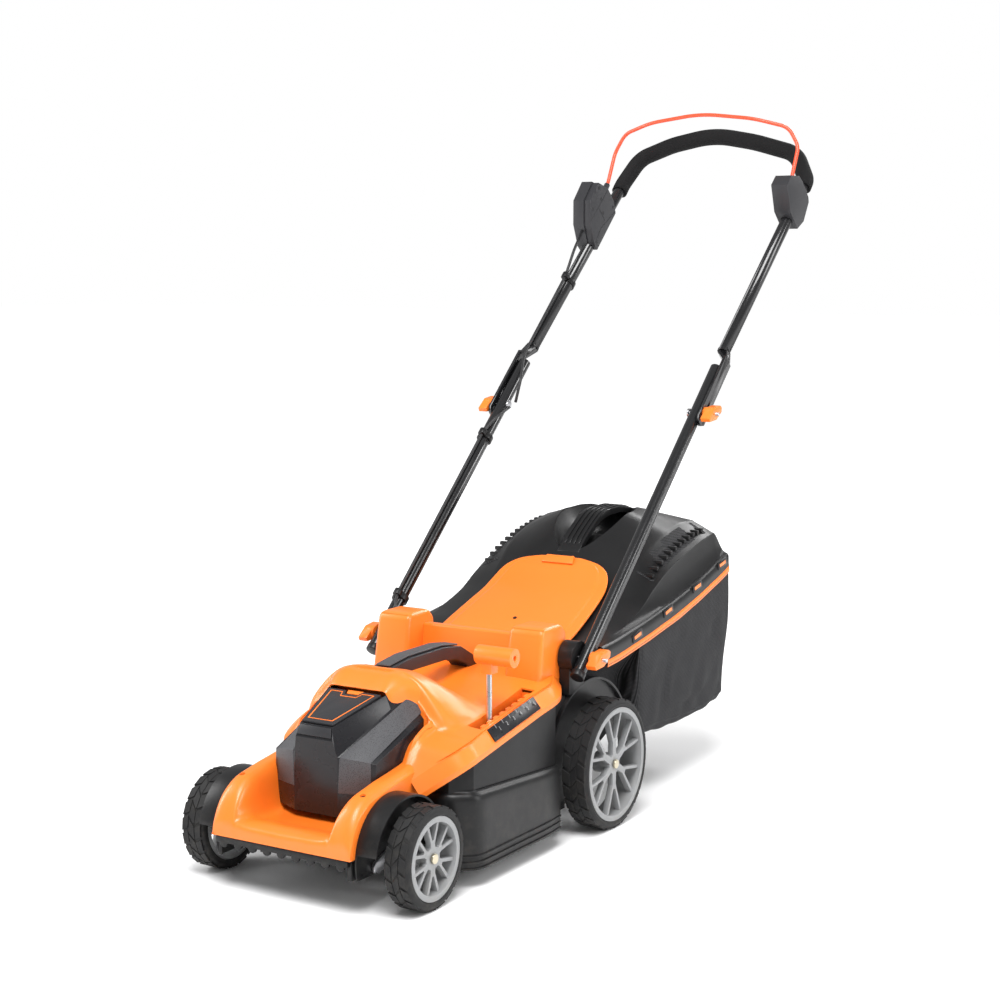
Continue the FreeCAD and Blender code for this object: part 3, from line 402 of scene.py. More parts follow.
def bothSides(half, y):  # a row from its right half
    return [(-x, y, z) for x, z in half[:0:-1]] + [(x, y, z) for x, z in half]


def skin(rows, across, along):  # a smooth sheet through rows of points, in steps between neighbours
    lines = []
    for row in rows:
        count = (len(row) - 1) * across
        lines.append([curve(row, k / across) for k in range(count + 1)])
    grid = []
    for k in range((len(lines) - 1) * along + 1):
        i = min(k // along, len(lines) - 2)
        f = k / along - i
        step = []
        for c in range(len(lines[0])):
            step.append(curve([line[c] for line in lines[max(0, i - 1):i + 3]], f + min(i, 1)))
        grid.append(step)
    bm = bmesh.new()
    verts = [[bm.verts.new(at(*p)) for p in line] for line in grid]
    webbed(bm, verts)
    return bm


def outward(bm, axis="z", sign=1):
    bm.normal_update()
    if sum(getattr(f.normal, axis) * f.calc_area() for f in bm.faces) * sign < 0:
        bmesh.ops.reverse_faces(bm, faces=bm.faces)


def extended(bm, y):  # carries on the open edge that lies at y and gives its new points
    rim = [e for e in bm.edges if e.is_boundary and all(abs(v.co.y - y) < 1e-5 for v in e.verts)]
    made = bmesh.ops.extrude_edge_only(bm, edges=rim)
    return [g for g in made["geom"] if isinstance(g, bmesh.types.BMVert)]


def thick(bm, depth, cutters=(), degrees=35):
    mesh = bpy.data.meshes.new("sheet")
    bm.to_mesh(mesh)
    bm.free()
    obj = scratch(mesh)
    solid = obj.modifiers.new("wall", "SOLIDIFY")
    solid.thickness = depth * mm
    solid.offset = -1
    tools = []
    for cutter in cutters:
        tool = scratch(cutter)
        tools.append(tool)
        hole = obj.modifiers.new("hole", "BOOLEAN")
        hole.object = tool
        hole.operation = "DIFFERENCE"
        hole.solver = "EXACT"
        hole.use_self = True
    out = applied(obj)
    for tool in tools + [obj]:
        discard(tool)
    smooth(out, degrees)
    return out


# repeats: one tree sets copies out round an axis, the other puts them on given points
def rowPoints(t, given):  # points a step apart, each turned one turn further
    line = t.node("GeometryNodeMeshLine", mode="OFFSET")
    t.link(given.outputs["Count"], line.inputs["Count"])
    t.link(given.outputs["Step"], line.inputs["Offset"])
    index = t.node("GeometryNodeInputIndex")
    turn = t.node("ShaderNodeVectorMath", operation="SCALE")
    t.link(given.outputs["Turn"], turn.inputs[0])
    t.link(index.outputs[0], turn.inputs["Scale"])
    return line.outputs[0], turn.outputs[0]


def ownPoints(t, given):  # the holder's points, turned by their own attribute
    turn = t.node("GeometryNodeInputNamedAttribute", data_type="FLOAT_VECTOR")
    turn.inputs["Name"].default_value = "turn"
    return given.outputs["Geometry"], turn.outputs["Attribute"]


def copyTree(name, pointsOf, *moreInputs):
    tree = bpy.data.node_groups.new(name, "GeometryNodeTree")
    inputs = (("Geometry", "Geometry"), ("Piece", "Object"), ("Finish", "Material")) + moreInputs
    for label, kind in inputs:
        tree.interface.new_socket(name=label, in_out="INPUT", socket_type="NodeSocket" + kind)
    tree.interface.new_socket(name="Geometry", in_out="OUTPUT", socket_type="NodeSocketGeometry")
    t = Tree(tree)
    given = t.node("NodeGroupInput")
    out = t.node("NodeGroupOutput")
    points, turn = pointsOf(t, given)
    piece = t.node("GeometryNodeObjectInfo")
    t.link(given.outputs["Piece"], piece.inputs["Object"])
    copies = t.node("GeometryNodeInstanceOnPoints")
    t.link(points, copies.inputs["Points"])
    t.link(piece.outputs["Geometry"], copies.inputs["Instance"])
    t.link(turn, copies.inputs["Rotation"])
    real = t.node("GeometryNodeRealizeInstances")
    t.link(copies.outputs[0], real.inputs[0])
    coat = t.node("GeometryNodeSetMaterial")
    t.link(real.outputs[0], coat.inputs["Geometry"])
    t.link(given.outputs["Finish"], coat.inputs["Material"])
    t.link(coat.outputs[0], out.inputs[0])
    return tree


setOut = copyTree("setOut", rowPoints, ("Count", "Int"), ("Step", "Vector"), ("Turn", "Vector"))
putOn = copyTree("putOn", ownPoints)


def copied(tree, holderMesh, mesh, slot, **values):
    piece, holder = scratch(mesh), scratch(holderMesh)
    modifier = holder.modifiers.new("copies", "NODES")
    modifier.node_group = tree
    values.update(Piece=piece, Finish=looks[slot])
    for item in tree.interface.items_tree:
        if item.in_out == "INPUT" and item.name in values:
            modifier[item.identifier] = values[item.name]
    out = applied(holder)
    discard(holder)
    discard(piece)
    return out


def repeated(mesh, count, turn, slot, start):
    out = copied(setOut, bpy.data.meshes.new("empty"), mesh, slot, Count=count, Step=(0, 0, 0), Turn=turn)
    out.transform(Matrix.Translation(start))
    return out


def blockMesh(low, high, width=0.0, segments=2):
    a, b = Vector(low), Vector(high)
    outline = [(a.x, a.y, a.z), (b.x, a.y, a.z), (b.x, b.y, a.z), (a.x, b.y, a.z)]
    return prism(outline, (0, 0, b.z - a.z), width, segments)


def placed(mesh, places, slot):  # copies of one piece; places are (point, turn as angles)
    spots = bpy.data.meshes.new("spots")
    spots.from_pydata([tuple(p) for p, _ in places], [], [])
    turns = spots.attributes.new("turn", "FLOAT_VECTOR", "POINT")
    for k, (_, turn) in enumerate(places):
        turns.data[k].vector = turn
    return copied(putOn, spots, mesh, slot)


def eased(points, reach):  # each inner corner becomes two points, so that a curve bends tightly there
    out = [Vector(points[0])]
    for a, b, c in zip(points, points[1:], points[2:]):
        a, b, c = Vector(a), Vector(b), Vector(c)
        for other in (a, c):
            away = other - b
            out.append(b + away.normalized() * min(reach, away.length * 0.4))
    return [tuple(v) for v in out + [Vector(points[-1])]]


def facets(points, faces):
    bm = bmesh.new()
    verts = {}
    for name, (x, y, z) in points.items():
        verts[name] = bm.verts.new(at(x, y, z))
        verts["-" + name] = bm.verts.new(at(-x, y, z)) if x else verts[name]
    for face in faces:
        bm.faces.new([verts[n] for n in face])
        other = [verts["-" + n if n[0] != "-" else n[1:]] for n in face]
        if set(other) != {verts[n] for n in face}:
            bm.faces.new(other[::-1])
    bmesh.ops.recalc_face_normals(bm, faces=bm.faces)
    return bm


# floor, backdrop and light
floorMesh = bpy.data.meshes.new("floor")
floorMesh.from_pydata([(-30, -30, 0), (30, -30, 0), (30, 30, 0), (-30, 30, 0)], [], [(0, 1, 2, 3)])
floor = scratch(floorMesh)
floor.name = "floor"
floorFinish = bpy.data.materials.new("paleFloor")
floorFinish.use_nodes = True
floorTree = Tree(floorFinish.node_tree)
floorShader = floorFinish.node_tree.nodes["Principled BSDF"]
floorPlace = floorTree.node("ShaderNodeTexCoord").outputs["Object"]
floorTone = floorTree.mix(floorTree.noise(floorPlace, 1.5), (0.94, 0.94, 0.945), (0.97, 0.97, 0.97))
floorTree.link(floorTone, floorShader.inputs["Base Color"])
floorShader.inputs["Roughness"].default_value = 0.75
floorShader.inputs["Specular IOR Level"].default_value = 0.1
reach = floorTree.node("ShaderNodeVectorMath", operation="LENGTH")
floorTree.link(floorPlace, reach.inputs[0])
glow = floorTree.span(reach.outputs["Value"], 0.9, 4.2, 0.0, 0.62)  # the floor brightens into the backdrop
glowColour = floorTree.node("ShaderNodeCombineColor")
for socket in glowColour.inputs:
    floorTree.link(glow, socket)
floorTree.link(glowColour.outputs[0], floorShader.inputs["Emission Color"])
floorShader.inputs["Emission Strength"].default_value = 1.0
floorMesh.materials.append(floorFinish)
world = bpy.data.worlds.new("studio")
scene.world = world
world.use_nodes = True
backdrop = Tree(world.node_tree)
backdropShader = world.node_tree.nodes["Background"]
backdropShader.inputs["Color"].default_value = (1, 1, 1, 1)
seen = backdrop.node("ShaderNodeLightPath").outputs["Is Camera Ray"]
backdrop.link(backdrop.span(seen, 0.0, 1.0, 0.42, 1.0), backdropShader.inputs["Strength"])


def softBox(name, place, target, size, power):
    data = bpy.data.lights.new(name, "AREA")
    data.shape = "RECTANGLE"
    data.size, data.size_y = size
    data.energy = power
    obj = bpy.data.objects.new(name, data)
    scene.collection.objects.link(obj)
    obj["place"] = list(place)
    aim(obj, (Vector(place) - Vector(target)).normalized())


softBox("keyLight", (0.9, -1.9, 3.4), (0, 0, 0.3), (1.8, 1.8), 150)
softBox("sideLight", (-3.0, -1.2, 1.8), (0, 0, 0.4), (1.2, 2.4), 70)
softBox("fillLight", (3.2, 0.4, 1.5), (0, 0, 0.3), (1.0, 1.8), 45)
softBox("rearLight", (0.6, 3.4, 2.6), (0, 0.2, 0.5), (3.0, 1.2), 80)
scene.view_settings.view_transform = "Standard"
print("stage lit")


# wheels: revolved tyre with tread blocks, rim from the frame
wheelSizes = {
    "front": {"span": (155.0, 195.0), "y": 0.0, "r": 72.0, "rim": 58.0, "blocks": 20},
    "rear": {"span": (176.0, 221.0), "y": 462.6, "r": 101.0, "rim": 88.0, "blocks": 26},
}


def revolved(profile, y, z, steps):  # profile of (x, radius) about the line along X through (y, z)
    bm = bmesh.new()
    rings = []
    for k in range(steps):
        a = 2 * math.pi * k / steps
        rings.append([bm.verts.new(at(x, y + r * math.cos(a), z + r * math.sin(a))) for x, r in profile])
    webbed(bm, rings + rings[:1], True)
    return bmToMesh(bm, "ring", 35)


def treadBlock(x0, x1, r0, r1, angle, lean):
    a = math.radians(angle) / 2
    base = [(x0, -a), (x1, lean - a), (x1, lean + a), (x0, a)]
    low, high = [[(x * mm, r * mm * math.cos(t), r * mm * math.sin(t)) for x, t in base] for r in (r0, r1)]
    bm, _ = capped(low, high)
    soften(bm, bm.edges, 0.5, 1)
    return bmToMesh(bm, "block", 30)


def mirrored(mesh):
    out = mesh.copy()
    bm = bmesh.new()
    bm.from_mesh(out)
    for v in bm.verts:
        v.co.x = -v.co.x
    bmesh.ops.reverse_faces(bm, faces=bm.faces)
    bm.to_mesh(out)
    bm.free()
    return out


for where, size in wheelSizes.items():
    x0, x1 = size["span"]
    r, rim = size["r"], size["rim"]
    mid = (x0 + x1) / 2
    profile = [(x0 + 0.2, rim + 0.1), (x0, rim + 5), (x0 + 1.2, r - 6), (x0 + 5, r - 1.9), (x1 - 4.5, r - 1.9),
               (x1 - 1.2, r - 5.5), (x1, rim + 5), (x1 - 0.4, rim + 1.5), (x1 - 2, rim + 0.1)]
    parts = [revolved(profile, size["y"], r, 96)]
    step = 360 / size["blocks"]
    centre = at(0, size["y"], r)
    lean = math.radians(step * 0.5)
    for xa, xb, shift, slope, share in ((x0 + 3.4, mid - 6, 0.0, lean * 0.5, 0.8),
                                        (mid - 5, mid + 5, 0.25, -lean, 0.86),
                                        (mid + 6, x1 - 3.4, 0.5, lean * 0.5, 0.8)):
        block = treadBlock(xa, xb, r - 4.0, r - 0.1, step * share, slope)
        block.transform(Matrix.Rotation(math.radians(step * shift), 4, "X"))
        parts.append(repeated(block, size["blocks"], turn=(math.radians(step), 0, 0), slot="tread",
                              start=centre))
    mesh = joined(parts)
    smooth(mesh, 32)
    for side in ("right", "left"):
        node = where + "_tyre_" + side
        newObject(where + "Tyre" + side.title(), mesh if side == "right" else mirrored(mesh), "tread",
                  bodyOf[node], node)
        refine(where + "_rim_" + side, 1.2, 2, 40)
print("wheels made")


# orange cover
coverSizes = {"wall": 2.4, "noseWall": 3.0, "noseFront": -92.0, "noseLip": 0.080, "screwBore": 4.2}
lidSlope = math.radians(16.4)
boundary = [(50.0, 136.0), (62.0, 147.0), (72.0, 157.0), (82.0, 168.0), (95.0, 180.0), (345.0, 226.0),
            (392.0, 231.0)]
boundaryLeft = [(50.0, 128.0), (60.0, 132.0), (95.0, 152.0), (130.0, 166.0), (200.0, 182.0), (345.0, 217.0),
                (392.0, 226.0)]
edgeRight = [(50.0, 129.0), (62.0, 142.0), (72.0, 155.0), (82.0, 169.0), (95.0, 185.0), (345.0, 185.0),
             (392.0, 160.0)]
edgeLeft = [(50.0, 119.0), (95.0, 142.3), (131.0, 166.5), (165.0, 179.5), (200.0, 185.0), (345.0, 185.0),
            (392.0, 160.0)]
bulge = [
    (52.0, [(108, 158), (104, 160), (98, 160), (90, 150), (0, 140)]),
    (64.0, [(112, 172), (106, 175), (99, 177), (92, 165), (0, 145)]),
    (74.0, [(114, 183), (107, 187), (99, 190), (93, 178), (0, 150)]),
    (88.0, [(116, 198), (107, 202), (99, 207), (94, 198), (0, 160)]),
    (108.0, [(118, 205), (109, 210), (99, 216), (94, 208), (0, 165)]),
    (123.0, [(120, 209), (110, 216), (100, 224), (95, 216), (0, 175)]),
    (128.0, [(124, 211), (110, 222), (92, 238), (46, 278), (0, 278)]),
    (135.0, [(130, 212), (115, 229), (80, 268), (45, 286), (0, 287)]),
    (152.0, [(138, 213), (122, 229), (82, 267), (44, 284), (0, 285)]),
    (178.0, [(139, 216), (126, 228), (88, 260), (42, 277), (0, 276)]),
    (205.0, [(138, 219), (124, 228), (86, 250), (36, 256), (0, 250)]),
    (235.0, [(136, 224), (120, 229), (82, 236), (34, 237), (0, 236)]),
    (290.0, [(132, 236), (110, 237), (80, 237.5), (34, 238), (0, 238)]),
    (345.0, [(128, 247), (110, 248), (80, 248), (34, 249), (0, 249)]),
    (392.0, [(118, 250), (100, 251), (70, 251), (34, 251), (0, 251)]),
]


def coverRow(y, inner):
    b, c = reading(boundary, y), reading(boundaryLeft, y)
    e, f = reading(edgeRight, y), reading(edgeLeft, y)
    right = [(e, y, b - 8), (e, y, b - 1), (e - 1.5, y, b + 2), (e - 13.5, y, b + 16.5), (e - 17, y, b + 18.5)]
    left = [(-f, y, c - 8), (-f, y, c - 1), (-f + 2, y, c + 2), (-f + 13, y, c + 10), (-f + 18, y, c + 12.5)]
    right += [(min(x, e - 22), y, z) for x, z in inner]
    left += [(max(-x, -f + 24), y, z if i else min(z, c + 24)) for i, (x, z) in enumerate(inner[:-1])]
    return left + right[::-1]


def coverMesh():
    rows = [coverRow(y, inner) for y, inner in bulge]
    bm = skin(rows, 5, 5)
    outward(bm)
    slot = blockMesh(at(139, 163, 150), at(162, 312, 300))
    return thick(bm, coverSizes["wall"], [slot])


slotSizes = {"teeth": 8, "pitch": 17.0, "first": 178.0}


def slotMesh():
    walls = []
    for x in (137.4, 161.0):
        outline = [at(x, y, z) for y, z in ((162, 176), (162, 212), (313, 239), (313, 200))]
        walls.append(prism(outline, (1.8 * mm, 0, 0)))
    for y in (161.6, 311.6):
        low = 150 + y * 0.16
        walls.append(blockMesh(at(138, y, low), at(162.5, y + 1.8, low + 34)))
    tooth = prism([(-0.009, -0.0045, -0.012), (0, -0.0065, -0.012), (0, 0.0065, -0.012),
                   (-0.009, 0.0045, -0.012)],
                  (0, 0, 0.012), 0.8, 1)
    spots = []
    for k in range(slotSizes["teeth"]):
        y = slotSizes["first"] + k * slotSizes["pitch"]
        spots.append((at(161.5, y, 210 + (y - 162) * 0.18), (0.18, 0, 0)))
    return joined(walls + [placed(tooth, spots, "orange_body")])


def cowlMesh():  # the panel over the hood behind the battery lid
    rows = []
    for y, top, shoulder, edge in ((89.5, (46, 266), (51, 260), (53, 250)),
                                   (94, (46, 270), (54, 262), (57, 248)),
                                   (108, (46, 280), (60, 268), (64, 246)),
                                   (120, (46, 285), (66, 270), (72, 246)),
                                   (136, (46, 286), (80, 267), (92, 238))):
        half = [(0, top[1] + 0.5), (24, top[1] + 0.3), top, shoulder, edge]
        rows.append(bothSides(half, y))
    bm = skin(rows, 5, 4)
    outward(bm)
    tab = [(-10, 87.5), (10, 87.5), (13.5, 97), (-13.5, 97)]
    low = [at(x, -6 + t * math.cos(lidSlope), 233 + t * math.sin(lidSlope)) for x, t in tab]
    rise = Vector((0, -math.sin(lidSlope), math.cos(lidSlope))) * 0.0022
    return joined([thick(bm, coverSizes["wall"]), prism(low, rise, 0.5)])


def noseRow(y, high, low, lip):
    half = [(0, low - 1), (30, low - 0.5), (58, low), (72, low + 2), (79, low + (high - low) * 0.3),
            (84, low + (high - low) * 0.8), (91, high - 1.5), (100, high), (109, high - 1), (116, high - 7),
            (118, high - 16), (118, lip)]
    return bothSides(half, y)


def noseMesh():
    stations = [
        (-92, 96, 92, 80), (-90, 106, 98, 80), (-82, 124, 102, 80), (-72, 138, 104, 82), (-60, 148, 103, 84),
        (-44, 156, 99, 86), (-20, 161, 98, 88), (0, 165, 98, 88), (20, 168, 99, 88), (40, 171, 99, 88),
                (58, 174, 99, 88), (72, 177, 99, 88)]
    bm = skin([noseRow(*s) for s in stations], 4, 4)
    outward(bm)
    for v in extended(bm, at(0, coverSizes["noseFront"], 0).y):
        v.co.z = coverSizes["noseLip"]
    bmesh.ops.recalc_face_normals(bm, faces=bm.faces)
    outward(bm)
    bores = [cylinderMesh(at(s * 104, -42, 130), (0, 0, 1), coverSizes["screwBore"], 60, 20) for s in (1, -1)]
    return thick(bm, coverSizes["noseWall"], bores)


def cylinderMesh(start, axis, radius, length, steps=32, width=0.0):  # start in metres, the rest in mm
    axis = Vector(axis).normalized()
    side = axis.orthogonal().normalized()
    other = axis.cross(side)
    ring = []
    for k in range(steps):
        a = 2 * math.pi * k / steps
        ring.append(Vector(start) + (side * math.cos(a) + other * math.sin(a)) * radius * mm)
    bm, ends = capped(ring, [p + axis * length * mm for p in ring])
    if width:
        soften(bm, [e for f in ends for e in f.edges], width, 3)
    return bmToMesh(bm, "rod", 40)


towerSizes = {"foot": 215, "height": 107, "inner": (88, 4), "outer": (154, -3), "soft": 7.0}


def towerMesh(side):
    outline = [(336, 215), (352, 318), (362, 322), (412, 322), (424, 308), (428, 215)]
    low, high = [[at(side * (x + (z - towerSizes["foot"]) / towerSizes["height"] * drift), y, z) for y,
                  z in outline]
                 for x, drift in (towerSizes["inner"], towerSizes["outer"])]
    bm, _ = capped(low, high)
    soften(bm, bm.edges, towerSizes["soft"], 4)
    return bmToMesh(bm, "tower", 50)


def wallMesh():
    outline = [at(-94, y, z) for y, z in ((380, 225), (393, 302), (410, 302), (412, 225))]
    return prism(outline, (0.188, 0, 0), 3.0, 3)


cover = joined([coverMesh(), cowlMesh(), slotMesh(), noseMesh(), towerMesh(1), towerMesh(-1), wallMesh()])
newObject("orangeCover", cover, "orange_body", "deck", "top_cover")
print("cover made")


# black deck, chute and small deck pieces
for node, width in (("deck_shell", 1.2), ("front_comb", 1.0), ("discharge_chute", 1.0), ("carry_handle", 5.0),
                    ("carry_handle_inlay", 1.5), ("handle_brackets", 2.0),
                    ("height_scale", 0.3), ("bolts_and_screws", 0.4), ("battery_bay", 0.5), ("motor", 1.5),
                    ("controller_board", 0.3), ("front_axle", 0.6), ("rear_axle", 0.6),
                    ("front_wheel_nuts", 0.8),
                    ("rear_wheel_nuts", 0.8), ("height_link", 0.5), ("height_lever_rod", 0.4),
                    ("height_lever_grip", 2.5),
                    ("battery_lid", 1.0), ("battery_pack", 1.5), ("battery_button", 0.8), ("safety_key", 0.8),
                    ("blade_shaft", 0.4), ("blade_holder", 0.8), ("blade", 0.4), ("blade_nut", 0.4),
                    ("box_mouth_frame", 1.0), ("upper_pivot_bolts", 0.4), ("cable_clips_lower", 0.8),
                    ("cable_clip_upper", 0.8), ("switch_box_back", 2.5), ("switch_box_front", 2.5),
                    ("bail_holder", 2.5), ("lock_button", 1.2), ("lower_knob_right", 2.5),
                    ("lower_knob_left", 2.5),
                    ("upper_knob_right", 2.5), ("upper_knob_left", 2.5)):
    refine(node, width, 3 if width > 1 else 2, 30)
for node in ("lower_tubes", "upper_tube", "foam_grip", "bail_rod", "cable_lower", "cable_upper", "hinge_pins",
             "flap_springs"):
    refine(node, 0.0, degrees=50)
print("frame pieces rounded")


# lower deck bulge with a crease, and the three lips of its skirt
sideSizes = {"crease": 131.0, "fall": 0.065, "swell": 9.0, "lips": (27.0, 36.0, 45.0), "lip": 2.6}


def sidePlan(side):
    if side > 0:
        return [(116, 84), (140, 84.5), (157, 88), (172, 99), (184.5, 113), (186, 150), (186, 220), (186, 290),
                (186, 337)]
    return [(119, 84), (136, 95), (150, 114), (163, 133), (176, 166), (185, 201), (186, 250), (186, 295),
            (186, 337)]


def sideMesh(side, profile):
    plan = sidePlan(side)
    rows = []
    for k, (x, y) in enumerate(plan):
        before, after = Vector(plan[max(k - 1, 0)]), Vector(plan[min(k + 1, len(plan) - 1)])
        along = (after - before).normalized()
        out = Vector((along.y, -along.x))
        crease = sideSizes["crease"] - (y - 84) * sideSizes["fall"]
        grow = 0.25 if k == 0 else 0.6 if k in (1, len(plan) - 1) else 1.0
        rows.append([((x + out.x * grow * push) * side, y + out.y * grow * push,
                      z if z < 90 else z - 131 + crease)
                     for push, z in profile])
    bm = skin(rows, 2, 4)
    outward(bm, "x", side)
    return thick(bm, 2.0)


swell = sideSizes["swell"]
bulgeProfile = [(-0.6, 140), (0.6, 137.5), (swell * 0.55, 134.5), (swell * 0.86, 129), (swell * 0.97, 120),
                (swell, 85),
                (swell * 1.03, 56), (swell * 1.05, 30)]
sides = [sideMesh(side, bulgeProfile) for side in (1, -1)]
for z in sideSizes["lips"]:
    reachOut = swell + sideSizes["lip"]
    lipProfile = [(swell - 1, z + 3.6), (reachOut - 0.6, z + 3.5), (reachOut, z + 3), (reachOut, z + 0.6),
                  (swell - 1, z)]
    sides += [sideMesh(side, lipProfile) for side in (1, -1)]
newObject("deckSides", joined(sides), "black_body", "deck")
print("deck sides made")


# hood in facets, its speckled side panels and the line on the battery lid
hoodSizes = {"wall": 2.2, "soft": 1.3, "limit": 14, "panel": 1.6, "proud": (0.9, -0.3, 0.6)}
hoodPoints = {
    "top": (28, -7.5, 232.5), "topMid": (50.5, 89, 262), "topBack": (51, 133, 272), "hole": (26.6, -4.4, 232.8),
    "holeMid": (46.0, 86.0, 260.0), "strip": (37, -9, 192), "stripMid": (58, 89, 242),
              "stripBack": (67, 133, 265),
    "panel": (87, 12, 184), "panelMid": (89.2, 89, 212), "panelBack": (91, 133, 227.5),
              "base": (37.5, -10, 107),
    "side": (88, 12, 108), "sideBack": (98, 133, 112), "brow": (31.5, -13.0, 214),
}
hoodFaces = [("top", "strip", "stripMid", "topMid"), ("topMid", "stripMid", "stripBack", "topBack"),
             ("strip", "panel", "panelMid", "stripMid"), ("stripMid", "panelMid", "panelBack", "stripBack"),
             ("strip", "base", "side", "panel"), ("panel", "side", "sideBack", "panelBack", "panelMid"),
             ("-strip", "-base", "base", "strip"), ("top", "topMid", "holeMid", "hole"),
             ("-top", "top", "hole", "-hole"),
             ("-top", "-brow", "brow", "top"), ("-brow", "-strip", "strip", "brow"), ("top", "brow", "strip")]


def panelMesh():
    p = {k: Vector(v) for k, v in hoodPoints.items()}

    def on(a, b, u):
        return p[a].lerp(p[b], u)
    rows = [[on("strip", "base", 0.6), on("strip", "panel", 0.05), on("stripMid", "panelMid", 0.08),
             on("stripBack", "panelBack", 0.1)],
            [on("strip", "panel", 0.86) + Vector((0, 0, -46)), on("strip", "panel", 0.86),
             on("stripMid", "panelMid", 0.8), on("stripBack", "panelBack", 0.76)]]
    for row in rows:
        row[3] = row[2].lerp(row[3], 0.82)
    tip = rows[0][3].lerp(rows[1][3], 0.5) + (rows[0][3] - rows[0][2]).normalized() * 7
    shapes = []
    for side in (1, -1):
        bm = bmesh.new()
        low, high = [[bm.verts.new(at(v.x * side, v.y, v.z)) for v in row] for row in rows]
        for k in range(3):
            bm.faces.new([low[k], low[k + 1], high[k + 1], high[k]][::side])
        end = bm.verts.new(at(tip.x * side, tip.y, tip.z))
        bm.faces.new([low[3], end, high[3]][::side])
        outward(bm, "x", side)
        out, forward, up = hoodSizes["proud"]
        bmesh.ops.translate(bm, verts=bm.verts, vec=Vector((out * side, forward, up)) * mm)
        shapes.append(thick(bm, hoodSizes["panel"]))
    return joined(shapes)


def lineMesh():
    outline = [(-21.5, 9), (21.5, 9), (38, 89), (17, 89), (13, 78), (-13, 78), (-17, 89), (-38, 89)]
    bm = bmesh.new()
    rings = []
    for grow in (0.0, 1.5):
        ring = []
        for x, t in outline:
            inX = x - math.copysign(grow, x) * (1.15 if abs(x) > 20 else -0.4)
            inY = t + (grow if t < 40 else -grow)
            ring.append((inX, inY))
        rings.append(ring)
    solid = []
    for ring in rings:
        for lift in (2.9, 3.35):
            line = []
            for x, t in ring:
                y = -6 + t * math.cos(lidSlope) - lift * math.sin(lidSlope)
                z = 233 + t * math.sin(lidSlope) + lift * math.cos(lidSlope)
                line.append(bm.verts.new(at(x, y, z)))
            solid.append(line)
    n = len(outline)
    outLow, outHigh, inLow, inHigh = solid
    for i in range(n):
        j = (i + 1) % n
        for a, b in ((outHigh, inHigh), (inHigh, inLow), (inLow, outLow), (outLow, outHigh)):
            bm.faces.new((a[i], a[j], b[j], b[i]))
    return bmToMesh(bm, "line")


newObject("facetedHood", bevelled(thick(facets(hoodPoints, hoodFaces), hoodSizes["wall"]), hoodSizes["soft"], 2,
                                  hoodSizes["limit"]), "black_gloss", "deck", "motor_hood")
newObject("speckledPanels", bevelled(panelMesh(), 0.5, 2, hoodSizes["limit"]), "grey_panel", "deck",
          "hood_side_panels")
newObject("lidLine", lineMesh(), "orange_body", "battery_door")
brow = prism([at(x, y, z) for x, y, z in ((-27, -8.6, 231), (27, -8.6, 231), (29.5, -12.6, 218),
                                          (-29.5, -12.6, 218))],
             (0, -0.0012, 0.0004), 0.5)
newObject("browPlate", brow, "dark_grey", "deck")
print("hood made")


# rear flap
flapRows = [(434.0, 263.0, 119), (450.0, 270.0, 120), (500.0, 288.0, 121), (555.0, 309.5, 117),
            (600.0, 328.0, 112),
            (625.0, 342.0, 109), (643.0, 356.0, 103), (655.0, 366.0, 93), (664.0, 374.0, 74),
            (669.5, 379.0, 44)]


def flapMesh():
    rows = []
    for y, z, wide in flapRows:
        lift = 3.2 if 440 < y < 660 else 0.6
        half = [(0, z + lift), (wide * 0.45, z + lift), (wide - 27, z + lift), (wide - 20, z + lift * 0.9),
                (wide - 15, z + 0.4), (wide - 5, z), (wide - 1, z - 1.4), (wide, z - 4)]
        rows.append([(-x, y, v) for x, v in half[:0:-1]] + [(x, y, v) for x, v in half])
    bm = skin(rows, 4, 5)
    outward(bm)
    pieces = [thick(bm, 3.0)]
    for x in (-118, -10, 98):
        pieces.append(cylinderMesh(at(x, 432, 262), (1, 0, 0), 5.5, 20, 24, 0.6))
        pieces.append(blockMesh(at(x, 432, 260), at(x + 20, 442, 265), 0.4, 1))
    lip = [at(x, y, z) for x, y, z in ((-30, 655, 369.5), (30, 655, 369.5), (26, 668, 380), (-26, 668, 380))]
    pieces.append(prism(lip, (0, -0.002, 0.0024), 0.8))
    return joined(pieces)


newObject("orangeFlap", flapMesh(), slotOf["rear_flap"], "flap", "rear_flap")
screwHead = prism([(0.0035 * math.cos(k * math.pi / 4), 0.0035 * math.sin(k * math.pi / 4),
                    0) for k in range(8)], (0, 0, 0.0012), 0.3, 1)
newObject("flapScrew", placed(screwHead, [(at(0, 520, 298.6), (0.38, 0, 0))], "black_body"), "black_body",
          "flap")
print("flap made")


# grass box lid: one smooth skin, the handle's hollow, ribs, louvres, windows
trimLine = [(464, 253), (525, 258), (627, 273), (734, 292), (809, 310), (895, 334), (927, 345)]
boxLidRows = [
    (472.5, [(60, 266), (125, 270), (172, 277)]),
    (515.0, [(60, 283), (119, 284), (172, 284)]),
    (560.0, [(60, 302), (112, 299), (172, 293)]),
    (625.0, [(60, 333), (118, 327), (172, 315)]),
    (668.0, [(60, 364), (122, 357), (172, 338)]),
    (716.0, [(60, 405), (128, 388), (172, 360)]),
    (775.0, [(60, 441), (131, 410), (172, 379)]),
    (812.0, [(60, 444.5), (131, 418), (172, 389)]),
    (850.0, [(60, 445), (131, 424), (172, 398)]),
    (885.0, [(60, 437), (131, 424), (172, 403)]),
    (900.0, [(60, 430), (131, 422), (172, 403.5)]),
    (921.5, [(60, 400), (131, 394), (172, 382)]),
]
lidSizes = {"hollow": (0, 788, 62, 96), "hollowPoints": 48, "depth": 44.0, "bar": 21.0, "louvres": 12,
            "wall": 2.6}


